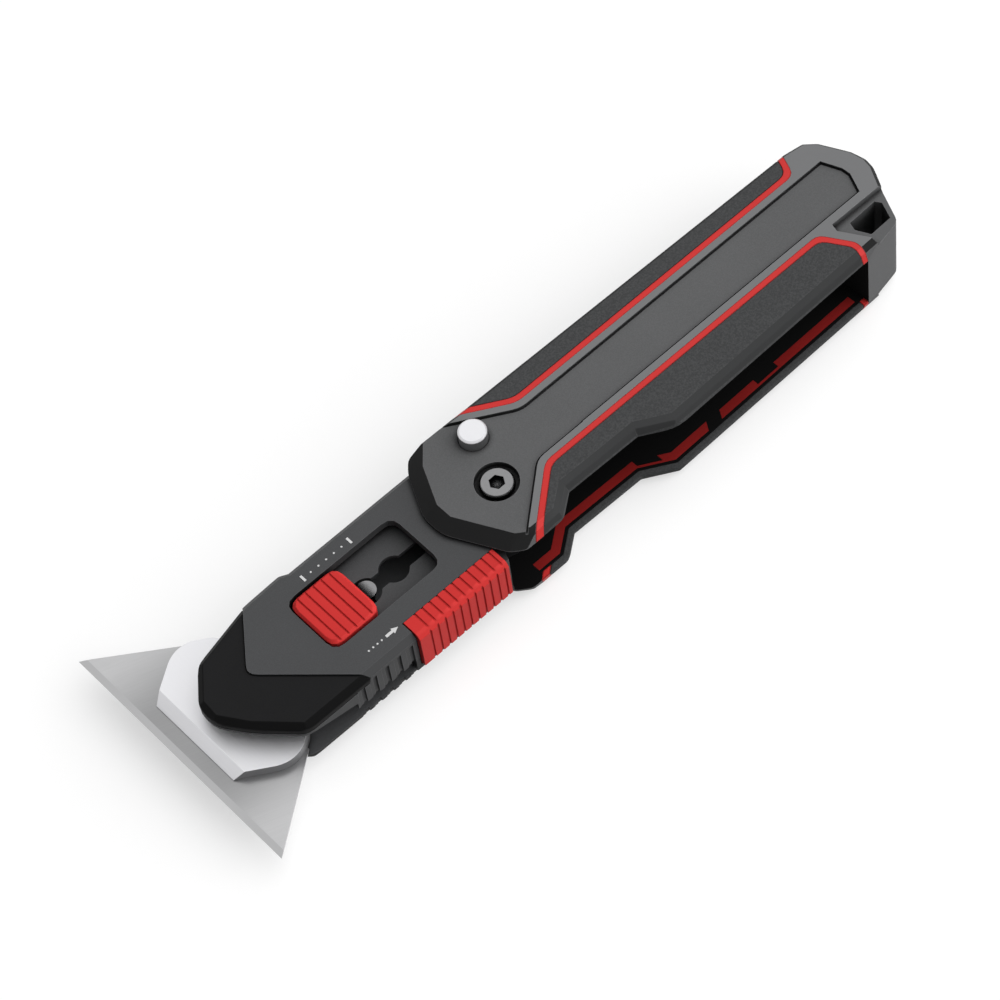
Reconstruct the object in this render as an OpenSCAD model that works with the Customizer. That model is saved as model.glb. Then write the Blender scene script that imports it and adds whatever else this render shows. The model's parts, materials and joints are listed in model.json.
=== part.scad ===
// Folding two-way scraper: a trapezoid blade in a turning holder, on a head that folds into its handle.
// Millimetres. The origin is the fold axis, on the plane that the handle's back rests on.
// +X runs to the tail of the handle, +Y to its spine, -Y to the open side, +Z out of the front face.

/* [Handle] */
// Length of the handle from its nose to its tail
handle_l = 120.5; // [118:0.5:126]
// Width of the handle from its belly to its spine
handle_w = 32.6; // [32:0.1:34]
// Distance of the fold axis behind the handle's nose
pivot_x = 14.9; // [14:0.1:16]
// Distance of the fold axis below the handle's spine
pivot_top = 17.3; // [17:0.1:17.6]
// Thickness of the handle over both scales
handle_t = 20; // [20:0.1:22]
// Thickness of the back scale
scale_t = 3.2; // [3:0.1:3.4]
// Thickness of the front scale, which the mode button passes under
front_scale_t = 2.8; // [2.7:0.05:2.9]
// Run of the wide bevel round the handle's nose
nose_bevel = 3.9; // [3:0.1:4.5]
// Run of the bevel on the short edge below the nose
corner_bevel = 3.4; // [3:0.1:3.6]
// Height of these two bevels
nose_bevel_h = 2.6; // [2:0.1:2.8]
// Bevel along the tail and the spine
rim_bevel = 0.8; // [0.4:0.1:1.2]
// Bevel along the belly, where the fingers lie
belly_bevel = 2.0; // [1:0.1:2.4]
// Depth of the sunk panel in the front face
panel_drop = 0.5; // [0.2:0.1:0.8]
// Width of the groove along the panel's edge
panel_groove_w = 0.45; // [0.3:0.05:0.8]
// Depth of that groove below the panel
panel_groove_d = 0.35; // [0.2:0.05:0.5]
// Width of the rim between a trim line and the panel
rim_w = 1.4; // [1:0.1:2]
// Length of the block at the tail
tail_block_l = 17; // [15.6:0.1:17.6]
// Depth of the lowered corner round the lanyard hole
lanyard_drop = 1.7; // [1:0.1:2.2]

/* [Grips and trims] */
// Width of a trim line
trim_w = 1.4; // [1:0.1:2]
// Thickness of a grip pad
pad_t = 1.4; // [1:0.1:1.8]
// Width of the liner strip inside the scale
liner_w = 2.0; // [1:0.1:2.6]
// Depth of the liner strip in the scale's inner face
liner_t = 0.8; // [0.4:0.1:1.2]
// Distance of the liner strip inside the scale's edge
liner_inset = 2.0; // [1.6:0.1:2.6]
// Break in the liner strip
liner_break = 3.2; // [1:0.1:4]
// Width of the liner strip where it is stepped back
liner_thin_w = 0.6; // [0.4:0.1:1]

/* [Fold pivot and lock] */
// Gap between the head and the back scale, filled by a washer
fold_gap = 0.25; // [0.2:0.05:0.3]
// Gap between the head and the front scale, filled by the other washer
front_gap = 0.65; // [0.6:0.05:0.8]
// Radius of the pivot barrel
barrel_r = 3.0; // [2.6:0.1:3.2]
// Running clearance round a shaft
run_clear = 0.05; // [0.03:0.01:0.08]
// Radius of the pivot screw's head
pivot_head_r = 3.6; // [3.3:0.1:4]
// Radius of the recess round the pivot screw's head
pivot_recess_r = 4.6; // [4.4:0.1:5]
// Depth of that recess below the panel
pivot_recess_h = 1.5; // [1:0.1:1.8]
// Radius of the pivot screw's thread
pivot_thread_r = 1.7; // [1.4:0.1:2]
// Width of the hexagon socket across its corners
socket_w = 3.4; // [2.5:0.1:3.8]
// Rim of the boss round the pivot that the washers leave free
washer_rim = 0.4; // [0.2:0.1:1.4]
// Distance of the lock button behind the fold axis
lock_x = 3.7; // [3.2:0.1:4.2]
// Distance of the lock button below the handle's spine
lock_spine = 6.5; // [6:0.1:7]
// Radius of the lock button
lock_r = 3.0; // [2.6:0.1:3.2]
// Height of the lock button above the face
lock_proud = 2.8; // [2.4:0.1:3.4]
// Travel of the lock button
lock_travel = 2.2; // [1.5:0.1:2.4]

/* [Head] */
// Reach of the head's nose in front of the fold axis
head_reach = 72.9; // [70:0.1:75]
// Width of the head
head_w = 28.9; // [28:0.1:30]
// Distance of the head's lower side below the fold axis
head_low = 13.0; // [12.5:0.1:13.2]
// Wall of the head's shells
head_wall = 1.5; // [1.2:0.1:1.8]
// Thickness of the front shell's face
head_face_t = 1.8; // [1.6:0.1:2]
// Chamfer along the head's face
head_chamfer = 1.2; // [0.8:0.1:1.4]
// Thickness of the back shell's floor
head_floor_t = 1.95; // [1.5:0.05:2.1]
// Height of the side slot along the ribbed flank
slot_h = 2.9; // [2.5:0.1:3.2]
// Height of the side slot at the nose, where the holder comes out
slot_mouth_h = 5.2; // [5:0.1:5.6]
// Depth of the nose cover's rim
nose_rim_h = 2.6; // [2:0.1:3]
// How far the nose cover lies under the face
nose_drop = 0.35; // [0.1:0.05:0.6]
// Pairs of grooves on the flank
groove_count = 5; // [3:1:6]
// Pitch of the grooves
groove_pitch = 3.1; // [2.8:0.1:3.4]

/* [Mode slide] */
// Length of the window in the face
window_l = 27.8; // [27.8:0.1:29]
// Width of the window
window_w = 15.1; // [14.6:0.1:16]
// Distance of the window's front end behind the nose
window_front = 26.3; // [25.6:0.1:27]
// Height of the window's middle above the fold axis
window_y = 3.1; // [2.5:0.1:3.5]
// Length of the mode button
button_l = 12.2; // [11:0.1:12.2]
// Width of the mode button
button_w = 13.6; // [12:0.1:14]
// Height of the mode button above the face
button_proud = 0.45; // [0.3:0.05:0.5]
// Travel of the mode button, ended by the guide slot
mode_travel = 12; // [10:0.5:12]
// Clearance at each end of the mode button
button_gap = 0.3; // [0.2:0.05:0.4]
// Number of grooves across the mode button
button_grooves = 5; // [3:1:7]
// Thickness of the guide plate
guide_t = 1.0; // [0.8:0.1:1.1]
// Depth of the guide plate under the face
guide_depth = 3.45; // [3.2:0.05:3.6]
// Width of the guide slot
guide_slot_w = 3.35; // [3.2:0.05:3.6]
// Radius of the guide slot's two round stations
guide_round_r = 3.1; // [2.8:0.1:3.4]
// Distance between those stations
guide_step = 7.2; // [6.4:0.1:7.6]

/* [Rotate slider] */
// Length of the ribbed slider
slider_l = 23.2; // [20:0.1:23.4]
// Distance of the slider's rear end in front of the fold axis
slider_back = 10.1; // [10:0.1:11]
// Thickness of the slider's side leg
slider_t = 1.2; // [1:0.1:1.3]
// Width of the slider's strip on the face
slider_strip_w = 4.7; // [4:0.1:5]
// Ribs on the slider
rib_count = 11; // [7:1:13]
// Depth of the grooves between the ribs
rib_depth = 0.3; // [0.2:0.05:0.5]
// Width of those grooves
rib_groove_w = 0.45; // [0.3:0.05:0.8]
// Travel of the slider
rotate_travel = 2.4; // [1.5:0.1:2.4]

/* [Blade and holder] */
// Length of the cutting edge
blade_l = 61; // [59:0.5:62]
// Length of the blade's back
blade_back_l = 33.2; // [32:0.1:34]
// Width of the blade from edge to back
blade_w = 19; // [18:0.1:19.2]
// Thickness of the blade
blade_t = 0.6; // [0.5:0.05:0.65]
// Width of the ground strip along the edge
blade_grind = 1.8; // [1:0.1:2.4]
// Distance of the cutting edge in front of the head's nose
edge_out = 7.85; // [7:0.05:8.5]
// Distance of the turn axis behind the cutting edge
turn_back = 14.25; // [14:0.05:14.5]
// Height of the turn axis above the fold axis
turn_y = 4.4; // [4:0.1:4.8]
// Radius of the turning holder
holder_r = 17.3; // [16.5:0.1:17.3]
// Reach of the holder's front edge before the turn axis
holder_front = 10.0; // [9:0.1:10.5]
// Half width of the holder's front edge
holder_half = 11.6; // [10:0.1:12.5]
// Thickness of the holder's front plate
holder_t = 2.4; // [2.2:0.05:2.45]
// Thickness of the holder's back plate
holder_back_t = 1.4; // [1.2:0.1:1.5]
// Radius of the turn rivet's shank
turn_rivet_r = 2.5; // [2:0.1:3]

/* [Hidden] */

// Facets of a round hole or shaft
round_fn = 48;
// Points that soften a corner of an outline
soft_n = 3;
// How far the curve of a corner starts outside the wall, so that it crosses it
corner_lift = 0.01;
// One overrun for every cut
over = 1;
// Clearance between parts that are clipped or slid together
fit_gap = 0.1;
// Play of a sliding part in its guide
slide_gap = 0.25;

// Colours
scale_colour = "#5c5e60";
pad_colour = "#454749";
trim_colour = "#d9403f";
black_colour = "#242425";
steel_colour = "#c9cbce";
bright_colour = "#e6e7e8";

// Places that follow from the sizes above
pivot_y = handle_w - pivot_top;
tail_block_x = handle_l - pivot_x - tail_block_l;
lock_y = pivot_top - lock_spine;
lock_reach = norm([lock_x, lock_y]);
lock_angle = atan2(lock_y, lock_x);
window_back = head_reach - window_front - window_l;
edge_reach = head_reach + edge_out;
turn_reach = edge_reach - turn_back;

// Heights through the handle and the head
face_z = handle_t;
front_in_z = handle_t - front_scale_t;
back_in_z = handle_t - scale_t;
head_z0 = scale_t + fold_gap;
head_z1 = front_in_z - front_gap;
floor_z = head_z0 + head_floor_t;
slot_z = floor_z + slot_h;
mouth_z = floor_z + slot_mouth_h;
ceiling_z = head_z1 - head_face_t;
holder_back_z = floor_z + slide_gap;
blade_z = holder_back_z + holder_back_t;
holder_z = blade_z + blade_t;
holder_top_z = holder_z + holder_t;
carriage_z = holder_top_z + slide_gap;
guide_top_z = head_z1 - guide_depth;
guide_z = guide_top_z - guide_t;
carriage_top_z = guide_z - slide_gap;
carriage_t = carriage_top_z - carriage_z;
nose_top_z = head_z1 - nose_drop;
nose_rim_z = nose_top_z - nose_rim_h;
panel_z = face_z - panel_drop;
head_back = 12;

// Outline of a scale, from the top of its nose round the belly to the tail: shares of length and width
outline_shares = [
    [0.057, 1.005], [0.038, 0.928], [0.000, 0.630], [0.000, 0.463], [0.053, 0.085],
    [0.076, 0.021], [0.157, 0.021], [0.198, 0.135], [0.349, 0.126], [0.406, 0.000],
    [0.859, 0.037], [0.947, 0.100], [0.973, 0.319], [0.996, 0.482], [1.000, 0.564],
    [0.994, 0.672], [0.968, 0.868], [0.949, 0.937], [0.911, 0.960]
];
// Kind of bevel on the edge after each point: 0 rim, 1 nose, 2 belly, 3 below the nose
edge_kinds = [1, 1, 1, 1, 3, 2, 2, 2, 2, 2, 0, 0, 0, 0, 0, 0, 0, 0, 0];
// How much of each bevel's run is used up where the crown starts
crown_shares = [0, 0.7, 0.35, 0.7];
// Softening of each corner, as shares of the handle's width
corner_shares = [
    0.03, 0.05, 0.06, 0.06, 0.03, 0.03, 0.04, 0.05, 0.08, 0.08,
    0, 0.04, 0.05, 0.04, 0.04, 0.06, 0.03, 0.03, 0
];
// Middle line of the trim round the lower pad and round the upper pad, closed outside the handle
lower_zone_shares = [
    [0.400, -0.150], [0.850, -0.090], [0.856, 0.140], [0.824, 0.337], [0.205, 0.337], [0.078, -0.060]
];
lower_soft_shares = [0, 0, 0.03, 0.05, 0.05, 0];
upper_zone_shares = [[0.130, 1.150], [0.144, 1.055], [0.251, 0.813], [0.886, 0.813], [0.920, 1.150]];
upper_soft_shares = [0, 0, 0.05, 0.06, 0];
// Sunk panel between the two rims, open at the nose
panel_shares = [
    [-0.060, 1.150], [-0.060, -0.300], [0.300, 0.405], [0.941, 0.405], [0.957, 0.545],
    [0.956, 0.610], [0.941, 0.748], [0.300, 0.748], [0.100, 1.150]
];
// Lowered corner round the lanyard hole, and the hole itself
lanyard_corner_shares = [[0.860, 0.350], [0.856, 0.292], [0.886, 0.105], [0.900, -0.100], [1.100, -0.100],
    [1.100, 0.340], [0.985, 0.348]];
lanyard_hole_shares = [[0.890, 0.305], [0.885, 0.245], [0.898, 0.148], [0.944, 0.152], [0.957, 0.270],
    [0.950, 0.312]];

// Outline of the head, from the top of its rear end round the nose: shares of its reach and width
head_shares = [
    [-0.20, 1.0], [0.565, 1.0], [0.590, 1.032], [0.718, 1.022], [0.918, 0.905], [0.996, 0.662],
    [1.000, 0.495], [0.944, 0.280], [0.842, 0.004], [0.560, 0.0], [-0.20, 0.0]
];
head_soft_shares = [0, 0.03, 0.03, 0.08, 0.08, 0.06, 0.08, 0.09, 0.06, 0, 0];
// The nose cover meets the face along this line
nose_zone_shares = [[1.30, -0.300], [0.600, -0.300], [0.600, -0.050], [0.630, 0.025], [0.838, 0.560],
    [0.842, 0.612], [0.724, 1.000], [0.680, 1.40], [1.30, 1.40]];
nose_zone_soft_shares = [0, 0, 0, 0, 0.05, 0.05, 0, 0, 0];

function in_handle(p) = [-pivot_x + p[0] * handle_l, -pivot_y + p[1] * handle_w];
function in_head(p) = [-p[0] * head_reach, -head_low + p[1] * head_w];
function left_of(v) = [-v[1], v[0]] / norm(v);
function meet(p, u, q, v) = p + u * ((q - p) * left_of(v)) / (u * left_of(v));
// Moves each edge of a counter-clockwise outline inwards by its own distance
function inset_edges(pts, ds) = [
    for (i = [0 : len(pts) - 1])
        let (n = len(pts), a = pts[(i + n - 1) % n], b = pts[i], c = pts[(i + 1) % n])
        meet(b + left_of(b - a) * ds[(i + n - 1) % n], b - a, b + left_of(c - b) * ds[i], c - b)
];
function same(n, d) = [for (i = [0 : n - 1]) d];
function inset(pts, d) = inset_edges(pts, same(len(pts), d));
function toward(p, q, d) = p + (q - p) * min(d / norm(q - p), 0.45);
// Softens every corner with a short curve
function soften(pts, cuts) = [
    for (i = [0 : len(pts) - 1])
        let (n = len(pts), p = pts[i], a = toward(p, pts[(i + n - 1) % n], cuts[i]),
             b = toward(p, pts[(i + 1) % n], cuts[i]))
        for (k = [0 : (cuts[i] > 0 ? soft_n : 0)])
            let (s = k / soft_n) a * (1 - s) * (1 - s) + p * 2 * s * (1 - s) + b * s * s
];
function arc(r, a0, a1, n) = [for (k = [0 : n]) let (a = a0 + (a1 - a0) * k / n) r * [cos(a), sin(a)]];

outline = [for (p = outline_shares) in_handle(p)];
corner_cuts = corner_shares * handle_w;
bevel_runs = [rim_bevel, nose_bevel, belly_bevel, corner_bevel];
crown_insets = [for (k = edge_kinds) bevel_runs[k] * crown_shares[k]];
crown_h = rim_bevel;
// The loft runs past the face by a lid, which is cut off flat
lid = 0.2;
lid_insets = [for (k = edge_kinds) let (c = bevel_runs[k] * crown_shares[k])
    c + (bevel_runs[k] - c) * (crown_h + lid) / crown_h];
lower_zone = [for (p = lower_zone_shares) in_handle(p)];
upper_zone = [for (p = upper_zone_shares) in_handle(p)];
head_outline = [for (p = head_shares) in_head(p)];
head_cuts = head_soft_shares * head_w;

// A closed solid through rings of points, each ring given as [height, outline]
module loft(rings) {
    n = len(rings[0][1]);
    m = len(rings);
    polyhedron(
        points = [for (r = rings) for (p = r[1]) [p[0], p[1], r[0]]],
        faces = concat(
            [[for (i = [0 : n - 1]) i]],
            [for (k = [0 : m - 2]) for (i = [0 : n - 1])
                [k * n + i, (k + 1) * n + i, (k + 1) * n + (i + 1) % n, k * n + (i + 1) % n]],
            [[for (i = [n - 1 : -1 : 0]) (m - 1) * n + i]]
        )
    );
}
// Cuts the outward corners of a counter-clockwise outline to the same curve as soften()
function corner_curve(o, p, q, c) = let (a = toward(p, o, c), b = toward(p, q, c), u = p - (a + b) / 2)
    concat(
        [for (k = [0 : soft_n]) let (s = k / soft_n)
            a * (1 - s) * (1 - s) + p * 2 * s * (1 - s) + b * s * s],
        [b + u / norm(u) * (c + over), a + u / norm(u) * (c + over)]);
module round_corners(line, cuts, z0, z1) {
    n = len(line);
    pts = inset(line, -corner_lift);
    for (i = [0 : n - 1]) {
        o = pts[(i + n - 1) % n];
        q = pts[(i + 1) % n];
        if (cuts[i] > 0 && (q - pts[i]) * left_of(pts[i] - o) > 0)
            prism(corner_curve(o, pts[i], q, cuts[i]), z0, z1);
    }
}
module prism(pts, z0, z1) {
    translate([0, 0, z0]) linear_extrude(z1 - z0) polygon(pts);
}
module rod(r, z0, z1, at = [0, 0]) {
    translate([at[0], at[1], z0]) cylinder(r = r, h = z1 - z0, $fn = round_fn);
}
module block(x0, x1, y0, y1, z0, z1) {
    translate([x0, y0, z0]) cube([x1 - x0, y1 - y0, z1 - z0]);
}
// Turns a front piece of the handle into its twin on the back
module to_back() {
    translate([0, 0, handle_t]) mirror([0, 0, 1]) children();
}

// Handle: one scale with its bevels, drawn as the front one; in_z is its inner face
module scale_form(in_z) {
    difference() {
        intersection() {
            loft([
                [in_z - over, outline],
                [face_z - nose_bevel_h, outline],
                [face_z - crown_h, inset_edges(outline, crown_insets)],
                [face_z + lid, inset_edges(outline, lid_insets)]
            ]);
            block(-handle_l, handle_l, -handle_w, handle_w, in_z, face_z);
        }
        round_corners(outline, corner_cuts, in_z - over, face_z + over);
    }
}
cut_z = back_in_z - over;
// The part of the scale that carries a pad from inside
module scale_core() {
    prism(inset(outline, pad_t), cut_z, face_z - pad_t);
}
module lower_zone_cut(grow) {
    prism(soften(inset(lower_zone, -grow), lower_soft_shares * handle_w), cut_z, face_z + over);
}
module upper_zone_cut(grow) {
    prism(soften(inset(upper_zone, -grow), upper_soft_shares * handle_w), cut_z, face_z + over);
}
module lower_pad(in_z) {
    difference() {
        intersection() {
            scale_form(in_z);
            lower_zone_cut(-trim_w / 2);
        }
        scale_core();
    }
}
module upper_pad(in_z) {
    difference() {
        intersection() {
            scale_form(in_z);
            upper_zone_cut(-trim_w / 2);
        }
        scale_core();
    }
}
module lower_trim(in_z) {
    difference() {
        intersection() {
            scale_form(in_z);
            lower_zone_cut(trim_w / 2);
        }
        lower_zone_cut(-trim_w / 2);
        scale_core();
    }
}
module upper_trim(in_z) {
    difference() {
        intersection() {
            scale_form(in_z);
            upper_zone_cut(trim_w / 2);
        }
        upper_zone_cut(-trim_w / 2);
        scale_core();
    }
}
// Strip in the inner face that follows the belly, with one break and both ends turned to the edge
liner_x0 = -pivot_x + handle_l * 0.105;
liner_x1 = tail_block_x - liner_w;
liner_break_x = -pivot_x + handle_l * 0.478;
liner_top_y = -pivot_y + handle_w * 0.32;
// Lengths where the strip is stepped back, as shares of the handle's length
liner_step_shares = [[0.357, 0.394], [0.611, 0.659]];
module liner_form(low_z, top_z) {
    difference() {
        intersection() {
            difference() {
                prism(inset(outline, liner_inset), low_z, top_z);
                prism(inset(outline, liner_inset + liner_w), low_z - over, top_z + over);
            }
            block(liner_x0, liner_x1, -handle_w, liner_top_y, low_z - over, face_z);
        }
        translate([liner_break_x, -pivot_y, low_z - over])
            rotate([0, 0, -30]) block(0, liner_break, -over, 3 * (liner_inset + liner_w), 0, face_z);
        for (s = liner_step_shares) intersection() {
            prism(inset(outline, liner_inset + liner_thin_w), low_z - over, top_z + over);
            block(-pivot_x + handle_l * s[0], -pivot_x + handle_l * s[1], -handle_w, handle_w, 0, 2 * face_z);
        }
    }
}
module scale_cuts(in_z) {
    difference() {
        union() {
            lower_zone_cut(trim_w / 2);
            upper_zone_cut(trim_w / 2);
        }
        scale_core();
    }
    liner_form(in_z - over, in_z + liner_t);
    prism([for (p = lanyard_hole_shares) in_handle(p)], -over, face_z + over);
    prism([for (p = lanyard_corner_shares) in_handle(p)], face_z - lanyard_drop, face_z + over);
    rod(barrel_r + run_clear, -over, face_z + over);
}
// The panel's area, moved in by d at its edge, from z up
module panel_area(d, z) {
    difference() {
        prism(inset([for (p = panel_shares) in_handle(p)], d), z, face_z + over);
        lower_zone_cut(trim_w / 2 + rim_w + d);
        upper_zone_cut(trim_w / 2 + rim_w + d);
    }
}
module panel_cut(x0) {
    difference() {
        union() {
            panel_area(0, panel_z);
            difference() {
                panel_area(0, panel_z - panel_groove_d);
                panel_area(panel_groove_w, 0);
            }
        }
        block(-handle_l, x0, -handle_w, handle_w, 0, handle_t + 2 * over);
    }
}

// Scale screws, from the back into the tail block
screw_r = 1.25;
screw_head_r = 2.2;
screw_head_h = 1.3;
screw_sink = 0.3;
screw_l = 11;
scale_screw_shares = [[0.915, 0.76], [0.895, 0.44]];
scale_screw_at = [for (p = scale_screw_shares) in_handle(p)];
module screw_set(places, z_face, length) {
    for (p = places) difference() {
        union() {
            rod(screw_head_r, z_face + screw_sink, z_face + screw_sink + screw_head_h, p);
            rod(screw_r, z_face + screw_sink + screw_head_h - fit_gap, z_face + length, p);
        }
        translate([p[0], p[1], z_face]) cylinder(d = screw_head_r, h = screw_head_h, $fn = 6);
    }
}
module screw_holes(places, z_face, length) {
    for (p = places) {
        rod(screw_head_r + fit_gap, z_face - over, z_face + screw_sink + screw_head_h, p);
        rod(screw_r + run_clear, z_face - over, z_face + length + fit_gap, p);
    }
}

// Pivot and lock
nut_r = pivot_recess_r - fit_gap;
nut_h = 1.2;
nut_sink = 0.3;
screw_seat_z = panel_z - pivot_recess_h;
pivot_head_h = 1.3;
pivot_screw_end = 8;
lock_flange_r = lock_r + 0.7 * rim_bevel;
lock_flange_h = 1.2;
lock_flange_gap = 0.2;
lock_low_z = head_z0 + 4.5 * lock_travel / 2.2;
lock_pocket_z = scale_t / 2;
lock_clear = 0.15;
lock_relief = 0.85;
relief_w = 2 * (lock_flange_r + lock_relief);
boss_r = lock_reach - relief_w / 2;
washer_r = boss_r - washer_rim;

module front_scale() {
    color(scale_colour) difference() {
        scale_form(scale_t);
        // Below the inner face only the tail block is left
        block(-handle_l, tail_block_x, -handle_w, handle_w, 0, front_in_z);
        scale_cuts(front_in_z);
        panel_cut(-handle_l + over);
        rod(pivot_recess_r, screw_seat_z, face_z + over);
        rod(lock_r + lock_clear, front_in_z - over, face_z + over, [lock_x, lock_y]);
        screw_holes(scale_screw_at, 0, screw_l);
    }
}
module back_scale() {
    color(scale_colour) difference() {
        to_back() difference() {
            scale_form(back_in_z);
            scale_cuts(back_in_z);
            panel_cut(pivot_x);
        }
        rod(pivot_recess_r, -over, nut_sink + nut_h);
        rod(lock_spring_r + slide_gap, lock_pocket_z, scale_t + over, [lock_x, lock_y]);
        screw_holes(scale_screw_at, 0, screw_l);
    }
}
module front_upper_pad() { color(pad_colour) upper_pad(front_in_z); }
module front_lower_pad() { color(pad_colour) lower_pad(front_in_z); }
module back_upper_pad() { color(pad_colour) to_back() upper_pad(back_in_z); }
module back_lower_pad() { color(pad_colour) to_back() lower_pad(back_in_z); }
module front_upper_trim() { color(trim_colour) upper_trim(front_in_z); }
module front_lower_trim() { color(trim_colour) lower_trim(front_in_z); }
module back_upper_trim() { color(trim_colour) to_back() upper_trim(back_in_z); }
module back_lower_trim() { color(trim_colour) to_back() lower_trim(back_in_z); }
module front_liner() { color(trim_colour) liner_form(front_in_z, front_in_z + liner_t); }
module back_liner() { color(trim_colour) to_back() liner_form(back_in_z, back_in_z + liner_t); }

// Spine bar between the scales, with a window at the height of the blade
spacer_x0 = -pivot_x + handle_l * 0.19;
spacer_inset = 0.5;
spacer_wall = 1.6;
spacer_window_x = edge_reach - blade_w - mode_travel;
function spine_at(x) = let (a = outline[18], b = outline[0])
    a[1] + (b[1] - a[1]) * (x - a[0]) / (b[0] - a[0]);
function spacer_outline() = [
    [spacer_x0, spine_at(spacer_x0) - spacer_inset - spacer_wall],
    [tail_block_x - fit_gap, spine_at(tail_block_x) - spacer_inset - spacer_wall],
    [tail_block_x - fit_gap, spine_at(tail_block_x) - spacer_inset],
    [spacer_x0, spine_at(spacer_x0) - spacer_inset]
];
module backspacer() {
    color(black_colour) difference() {
        prism(spacer_outline(), scale_t, front_in_z);
        block(spacer_window_x, tail_block_x - spacer_wall, 0, handle_w,
            floor_z - slide_gap, mouth_z + slide_gap);
    }
}
module scale_screws() { color(steel_colour) screw_set(scale_screw_at, 0, screw_l); }

module pivot_screw() {
    color(steel_colour) difference() {
        union() {
            translate([0, 0, screw_seat_z + fit_gap]) rotate_extrude($fn = round_fn) polygon([
                [0, 0], [pivot_head_r, 0], [pivot_head_r, pivot_head_h - rim_bevel / 2],
                [pivot_head_r - rim_bevel / 2, pivot_head_h], [0, pivot_head_h]
            ]);
            rod(pivot_thread_r, pivot_screw_end, screw_seat_z + 2 * fit_gap);
        }
        translate([0, 0, screw_seat_z + fit_gap + rim_bevel / 2])
            cylinder(d = socket_w, h = pivot_head_h, $fn = 6);
    }
}
module pivot_barrel() {
    color(steel_colour) difference() {
        union() {
            rod(barrel_r, nut_sink, screw_seat_z);
            rod(nut_r, nut_sink, nut_sink + nut_h);
        }
        rod(pivot_thread_r + run_clear, pivot_screw_end - over, handle_t);
        block(-nut_r, nut_r, -rim_bevel / 2, rim_bevel / 2, 0, nut_sink + nut_h / 2);
    }
}
module pivot_washers() {
    color(bright_colour) for (z = [[scale_t, head_z0], [head_z1, front_in_z]]) difference() {
        rod(washer_r, z[0], z[1]);
        rod(barrel_r + run_clear, z[0] - over, z[1] + over);
    }
}
lock_spring_r = 2.3;
lock_wire_r = 0.35;
spring_turns = 4;
spring_steps = 10;
module lock_button() {
    color(bright_colour) translate([lock_x, lock_y, 0]) difference() {
        rotate_extrude($fn = round_fn) polygon([
            [0, lock_low_z], [lock_r, lock_low_z],
            [lock_r, front_in_z - lock_flange_gap - lock_flange_h],
            [lock_flange_r, front_in_z - lock_flange_gap - lock_flange_h],
            [lock_flange_r, front_in_z - lock_flange_gap], [lock_r, front_in_z - lock_flange_gap],
            [lock_r, panel_z + lock_proud - rim_bevel / 2], [lock_r - rim_bevel / 2, panel_z + lock_proud],
            [0, panel_z + lock_proud]
        ]);
        rod(lock_spring_r + lock_wire_r, lock_low_z - over, lock_low_z + over);
    }
}
// A round-wire spring as one tube: radius, wire radius, height, turns
module coil(r, wire, h, turns, steps) {
    sides = 6;
    rings = turns * steps;
    pitch = (h - 2 * wire) / turns;
    polyhedron(
        points = [for (k = [0 : rings]) for (j = [0 : sides - 1])
            let (t = 360 * k / steps, a = 360 * j / sides, d = (r - wire) + wire * cos(a))
            [d * cos(t), d * sin(t), wire + pitch * k / steps + wire * sin(a)]],
        faces = concat(
            [[for (j = [0 : sides - 1]) j]],
            [for (k = [0 : rings - 1]) for (j = [0 : sides - 1])
                [k * sides + j, (k + 1) * sides + j, (k + 1) * sides + (j + 1) % sides]],
            [for (k = [0 : rings - 1]) for (j = [0 : sides - 1])
                [k * sides + j, (k + 1) * sides + (j + 1) % sides, k * sides + (j + 1) % sides]],
            [[for (j = [sides - 1 : -1 : 0]) rings * sides + j]]
        )
    );
}
module lock_spring() {
    color(steel_colour) translate([lock_x, lock_y, lock_pocket_z])
        coil(lock_spring_r, lock_wire_r, lock_low_z + over - lock_pocket_z, spring_turns, spring_steps);
}

// Head
function nose_zone() = [for (p = nose_zone_shares) in_head(p)];
// Everything behind the shoulders except the boss round the pivot, so that the lock button clears the head
module tang_relief() {
    rotate([0, 0, lock_angle - 90]) difference() {
        union() {
            block(0, handle_l, -handle_w, handle_w, 0, handle_t);
            block(-relief_w / 2, handle_l, boss_r + slide_gap, handle_w, 0, handle_t);
            block(-relief_w / 2, handle_l, -handle_w, -boss_r - slide_gap, 0, handle_t);
        }
        rod(boss_r, -over, handle_t + over);
    }
}
cavity_back = 14.6;
module head_cavity(z0, z1) {
    intersection() {
        prism(inset(head_outline, head_wall), z0, z1);
        block(-2 * head_reach, -cavity_back, -head_w, head_w, z0, z1);
    }
}
// Side slots: the blade and its holder pass here when they turn or slide
flank_slot_l = 31.9;
flank_slot_back = turn_reach - flank_slot_l;
mouth_l = 6.5;
mouth_back = turn_reach - mouth_l;
mouth_step = turn_reach - holder_r + fit_gap;
mouth_lip = 1.95;
mouth_rise = 4.5;
spine_slot_l = 30;
spine_slot_back = turn_reach - spine_slot_l;
nose_open_x = in_head([0.82, 0])[0];
module side_slots() {
    // Open side: low along the ribs, rising to the mouth
    translate([0, -head_low + 2 * head_wall, 0]) rotate([90, 0, 0]) linear_extrude(head_wall * 4) polygon([
        [-flank_slot_back, floor_z], [-flank_slot_back, slot_z], [-mouth_step, slot_z],
        [-mouth_step, slot_z + mouth_lip], [-mouth_back, slot_z + mouth_rise],
        [-2 * head_reach, slot_z + mouth_rise], [-2 * head_reach, floor_z]
    ]);
    // Spine side: high enough for the holder plates all the way
    block(-2 * head_reach, -spine_slot_back, head_w - head_low - 2 * head_wall, head_w, floor_z, mouth_z);
    // Nose: open below the rim of the nose cover
    block(-2 * head_reach, nose_open_x, -head_w, head_w, floor_z, nose_floor_z);
}
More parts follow.
